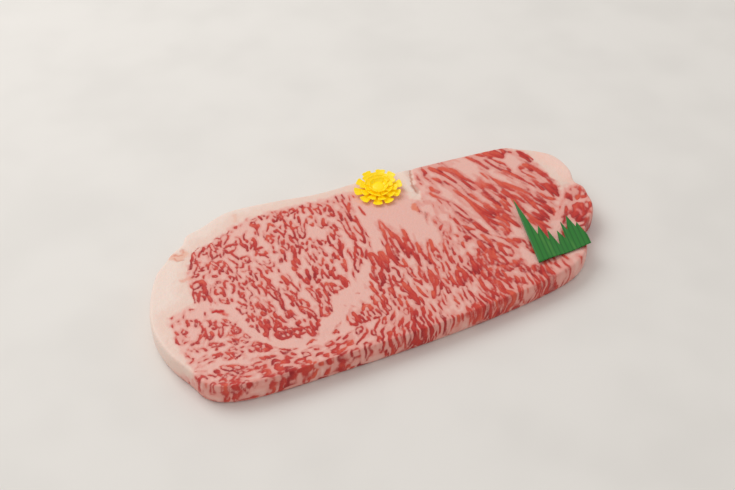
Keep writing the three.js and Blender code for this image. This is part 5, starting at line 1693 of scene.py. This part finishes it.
@dataclass
class Chrysanthemum:
    """The moulded plastic chrysanthemum."""

    rings: tuple[PetalRing, ...] = (
        PetalRing(10, (3.8, 0.9), (9.4, 0.9), (12.85, 2.2), 5.6, 0.744, 0.3, 0.13),
        PetalRing(10, (3.6, 1.5), (7.6, 1.7), (10.2, 3), 4.8, 0.244, 0.35, 0.12),
        PetalRing(10, (3, 2), (6.2, 2.2), (7.7, 3.9), 4.3, 0.744, 0.5, 0.09),
        PetalRing(10, (2.6, 2.4), (4.6, 2.7), (5.2, 4.6), 3.1, 0.244, 0.6, 0.08),
    )
    petal_thickness: float = 0.55
    notch: float = 0.08  # as a share of a petal's width
    stations: int = 16
    section: int = 16
    core: tuple[Point, ...] = (
        (2.8, 0.2), (4.2, 0.8), (4.2, 1.4), (3.9, 2), (3.5, 2.5), (3.2, 2.8), (2.9, 3.05), (2.5, 3.2),
        (1.8, 3.3), (1, 3.35), (0.4, 3.37),
    )  # radius and height, from its underside to its shallow disc
    core_rise: float = 0.05
    core_sides: int = 32
    place: Point = (15.2, 41.9)
    lift: float = 0.6
    lean: float = math.radians(8.5)
    lean_axis: float = math.radians(-25)
    seed: int = 21
    variety: tuple[float, ...] = (0.02, 0.12, 0.09, 0.03)  # of a petal's length, tip, roll and angle
    # Depth of the painted shade at the petals' roots, given for the outer ring and as the drop in each next
    # ring
    gap_shade_depth: Point = (0.25, 0.12)  # of the outer ring's roots, and how much less in each next ring
    petal_reach: float = 0.85
    core_reach: float = 0.8

    def _petal(self, ring: PetalRing, turn: float, draws: Array) -> Array:
        """Shapes one petal, cupped and with a round blunt tip.

        Args:
            ring: The ring that it belongs to.
            turn: Its angle round the flower.
            draws: Random shares that make it differ from its neighbours.

        Returns:
            Its points, ring after ring of its section.
        """
        longer, higher, rolled, turned = np.array(self.variety) * draws
        share = 1 - (1 - np.linspace(0, 1, self.stations)) ** 1.3
        root = np.array(ring.root)
        bend = np.array(ring.bend) * (1 + longer)
        tip = np.array(ring.tip) * (1 + longer) + np.array([0, higher])
        s = share[:, None]
        spine = root * (1 - s) ** 2 + bend * 2 * s * (1 - s) + tip * s**2
        tangent = (bend - root) * 2 * (1 - s) + (tip - bend) * 2 * s
        tangent /= np.linalg.norm(tangent, axis=1)[:, None]
        widths = (ring.waist + (1 - ring.waist) * np.minimum(1, share / 0.92)) * ring.width / 2
        rounding = np.sqrt(np.clip(1 - (np.clip(share - 0.82, 0, 1) / 0.185) ** 3, 0.02, 1))
        widths = widths * rounding
        angle = np.linspace(0, 2 * math.pi, self.section, endpoint=False)
        across = np.cos(angle)
        over = np.sign(np.sin(angle)) * np.abs(np.sin(angle)) ** 0.7
        side = widths[:, None] * across
        lift = 2 * ring.cup * across**2 * widths[:, None] * (0.3 + 0.7 * s)
        lift = lift + self.petal_thickness / 2 * over * (0.6 + 0.4 * rounding[:, None])
        lift = lift + side * math.tan(rolled)
        dent = self.notch * ring.width * smooth_step(0.8, 1, share)[:, None] * (1 - across**2) ** 2
        out = spine[:, :1] - tangent[:, 1:] * lift - dent
        up = spine[:, 1:] + tangent[:, :1] * lift
        cosine, sine = math.cos(turn + turned), math.sin(turn + turned)
        return np.stack([out * cosine - side * sine, out * sine + side * cosine, up], axis=2).reshape(-1, 3)

    def _core_wall(self) -> Array:
        """Lays out the core's wall.

        Returns:
            Its points, ring after ring from the underside up.
        """
        turns = np.tile(np.linspace(0, 2 * math.pi, self.core_sides, endpoint=False), len(self.core))
        radius, height = np.repeat(np.array(self.core), self.core_sides, axis=0).T
        return np.column_stack([radius * np.cos(turns), radius * np.sin(turns), height])

    def _leaned(self, points: Array) -> Array:
        """Leans the whole flower over.

        Args:
            points: The upright flower's points.

        Returns:
            The leaning flower's points.
        """
        axis = np.array([math.cos(self.lean_axis), math.sin(self.lean_axis), 0])
        along = axis * (points @ axis)[:, None]
        aside = np.cross(axis, points)
        return along + (points - along) * math.cos(self.lean) + aside * math.sin(self.lean)

    def build(self, slice_: Slice) -> bpy.types.Object:
        """Makes and dresses the chrysanthemum.

        Args:
            slice_: The slice that it lies on.

        Returns:
            The finished object.
        """
        rng = np.random.default_rng(self.seed)
        sculpt = Sculpt()
        reach: list[float] = []
        along = np.repeat(np.linspace(0, 1, self.stations), self.section)
        for level, ring in enumerate(self.rings):
            # Painted shade: reach runs from below zero at a petal's root, painted deepest, to the full petal
            # colour at its tip
            gap_shade = self.gap_shade_depth[0] - self.gap_shade_depth[1] * level
            for i in range(ring.count):
                turn = (i + ring.turn) / ring.count * 2 * math.pi
                points = self._petal(ring, turn, rng.normal(0, 1, 4).clip(-2, 2))
                lids = points[: self.section].mean(0), points[-self.section :].mean(0)
                sculpt.add_tube(points, self.section, lids)
                reach += [*(along * (self.petal_reach + gap_shade) - gap_shade), -gap_shade, self.petal_reach]
        wall = self._core_wall()
        lids = (0, 0, self.core[0][1]), (0, 0, self.core[-1][1] + self.core_rise)
        sculpt.add_tube(wall, self.core_sides, lids)
        reach += [self.core_reach] * (len(wall) + len(lids))
        level = slice_.thickness + slice_.thickness_rise * self.place[1] + self.lift
        sculpt.points = [self._leaned(np.concatenate(sculpt.points)) + np.array([*self.place, level])]
        piece = sculpt.to_object("chrysanthemum", slice_.shift)
        carry_values(piece, "reach", np.array(reach))
        declare(piece, "flower", YellowPlastic().material())
        return piece


@dataclass
class CutLeaf:
    """The leaf cut from ribbed green film."""

    corner: Point = (66.6, -39.5)
    base_angle: float = math.radians(3.6)
    blade_lean: float = math.radians(12.6)
    thickness: float = 0.4
    lift: float = 0.5
    wave: float = 0.9
    wave_along: float = 4.2
    wave_up: float = 19.0
    tip_rise: float = 1.4
    rows: int = 28
    columns_per_cut: int = 6
    cuts: tuple[Point, ...] = (
        (0, 45.8), (5.4, 17.1), (7.5, 23), (10.4, 11.3), (11.7, 18.3), (14.8, 6.1), (16.7, 15.9),
        (19.5, 8.7), (20.4, 20.5), (22.3, 13.5), (24.8, 22.8), (27.3, 13.5), (28.7, 16.1), (31.4, 5.8),
    )  # place along the base and height of each tip and notch

    def _sheet(self, along: Array, top: Array, offset: float, slice_: Slice) -> Array:
        """One face of the leaf.

        Args:
            along: Place of each column along the base.
            top: Height of each column.
            offset: Distance from the middle of the film.
            slice_: The slice that it lies on.

        Returns:
            Its points, row after row.
        """
        share = np.linspace(0, 1, self.rows + 1)[:, None]
        height = share * top
        x = self.corner[0] + along * math.cos(self.base_angle) + height * math.sin(self.blade_lean)
        y = self.corner[1] + along * math.sin(self.base_angle) + height * math.cos(self.blade_lean)
        wave = self.wave * (0.5 + 0.5 * np.sin(along / self.wave_along + height / self.wave_up))
        rise = self.tip_rise * share**2 * height / self.cuts[0][1]
        level = slice_.thickness + slice_.thickness_rise * y + self.lift + self.thickness / 2
        return np.stack([x, y, level + wave + rise + offset], axis=2).reshape(-1, 3)

    def build(self, slice_: Slice) -> bpy.types.Object:
        """Makes and dresses the leaf.

        Args:
            slice_: The slice that it lies on.

        Returns:
            The finished object.
        """
        cuts = np.array(self.cuts)
        steps = np.linspace(0, len(cuts) - 1, (len(cuts) - 1) * self.columns_per_cut + 1)
        along, top = (np.interp(steps, np.arange(len(cuts)), cuts[:, k]) for k in (0, 1))
        sculpt = Sculpt()
        sculpt.add_points(self._sheet(along, top, self.thickness / 2, slice_))
        half = sculpt.add_points(self._sheet(along, top, -self.thickness / 2, slice_))
        columns = len(along)
        for row in range(self.rows):
            for i in range(columns - 1):
                a, b = row * columns + i, row * columns + i + 1
                sculpt.faces.append((a, b, b + columns, a + columns))
                sculpt.faces.append((a + half, a + columns + half, b + columns + half, b + half))
        border = [*range(columns), *((row + 1) * columns - 1 for row in range(1, self.rows + 1))]
        border += [*range(self.rows * columns + columns - 2, self.rows * columns - 1, -1)]
        border += [row * columns for row in range(self.rows - 1, 0, -1)]
        for a, b in zip(border, border[1:] + border[:1]):
            sculpt.faces.append((a, a + half, b + half, b))
        piece = sculpt.to_object("cut_leaf", slice_.shift)
        carry_values(piece, "across", np.tile(along, 2 * (self.rows + 1)))
        declare(piece, "leaf", GreenPlastic().material())
        return piece


@dataclass
class Studio:
    """The floor, the lights and the camera."""

    eye: tuple[float, float, float] = (-148.45, -325.16, 348.99)
    yaw: float = math.radians(23.2078)
    pitch: float = math.radians(43.0077)
    lens: float = 47.76
    sensor: float = 36.0
    sky: float = 0.62
    sky_colour: Colour = (1.0, 0.985, 0.96, 1.0)
    key_power: float = 8.5
    key_place: tuple[float, float, float] = (-0.45, 0.75, 1.1)
    key_size: float = 0.9
    floor_size: float = 6.0
    floor_drop: float = 0.2

    def build(self, shift: Array) -> None:
        """Sets up the studio.

        Args:
            shift: From the outline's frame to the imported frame, in millimetres.
        """
        bpy.ops.mesh.primitive_plane_add(size=self.floor_size, location=(0, 0, -self.floor_drop * MM))
        floor = bpy.context.object
        floor.name = "floor"
        floor.data.materials.append(PalePaint().material())
        world = bpy.data.worlds.new("soft_sky")
        world.use_nodes = True
        background = world.node_tree.nodes["Background"]
        background.inputs["Color"].default_value = self.sky_colour
        background.inputs["Strength"].default_value = self.sky
        bpy.context.scene.world = world
        bpy.ops.object.light_add(type="AREA", location=self.key_place)
        key = bpy.context.object
        key.name = "key_light"
        key.data.energy = self.key_power
        key.data.size = self.key_size
        key.rotation_euler = (-Vector(self.key_place)).to_track_quat("-Z", "Y").to_euler()
        camera = bpy.data.objects.new("camera", bpy.data.cameras.new("camera"))
        bpy.context.collection.objects.link(camera)
        camera.location = (np.array(self.eye) + shift) * MM
        camera.rotation_euler = (math.pi / 2 - self.pitch, 0, -self.yaw)
        camera.data.lens = self.lens
        camera.data.sensor_width = self.sensor
        bpy.context.scene.camera = camera
        bpy.context.scene.view_settings.view_transform = "Standard"


def main() -> None:
    """Builds every piece in order."""
    logging.basicConfig(level=logging.INFO, format="%(name)s: %(message)s")
    slice_ = Slice()
    Studio().build(slice_.shift)
    slice_.build()
    Chrysanthemum().build(slice_)
    CutLeaf().build(slice_)


if __name__ == "__main__":
    main()
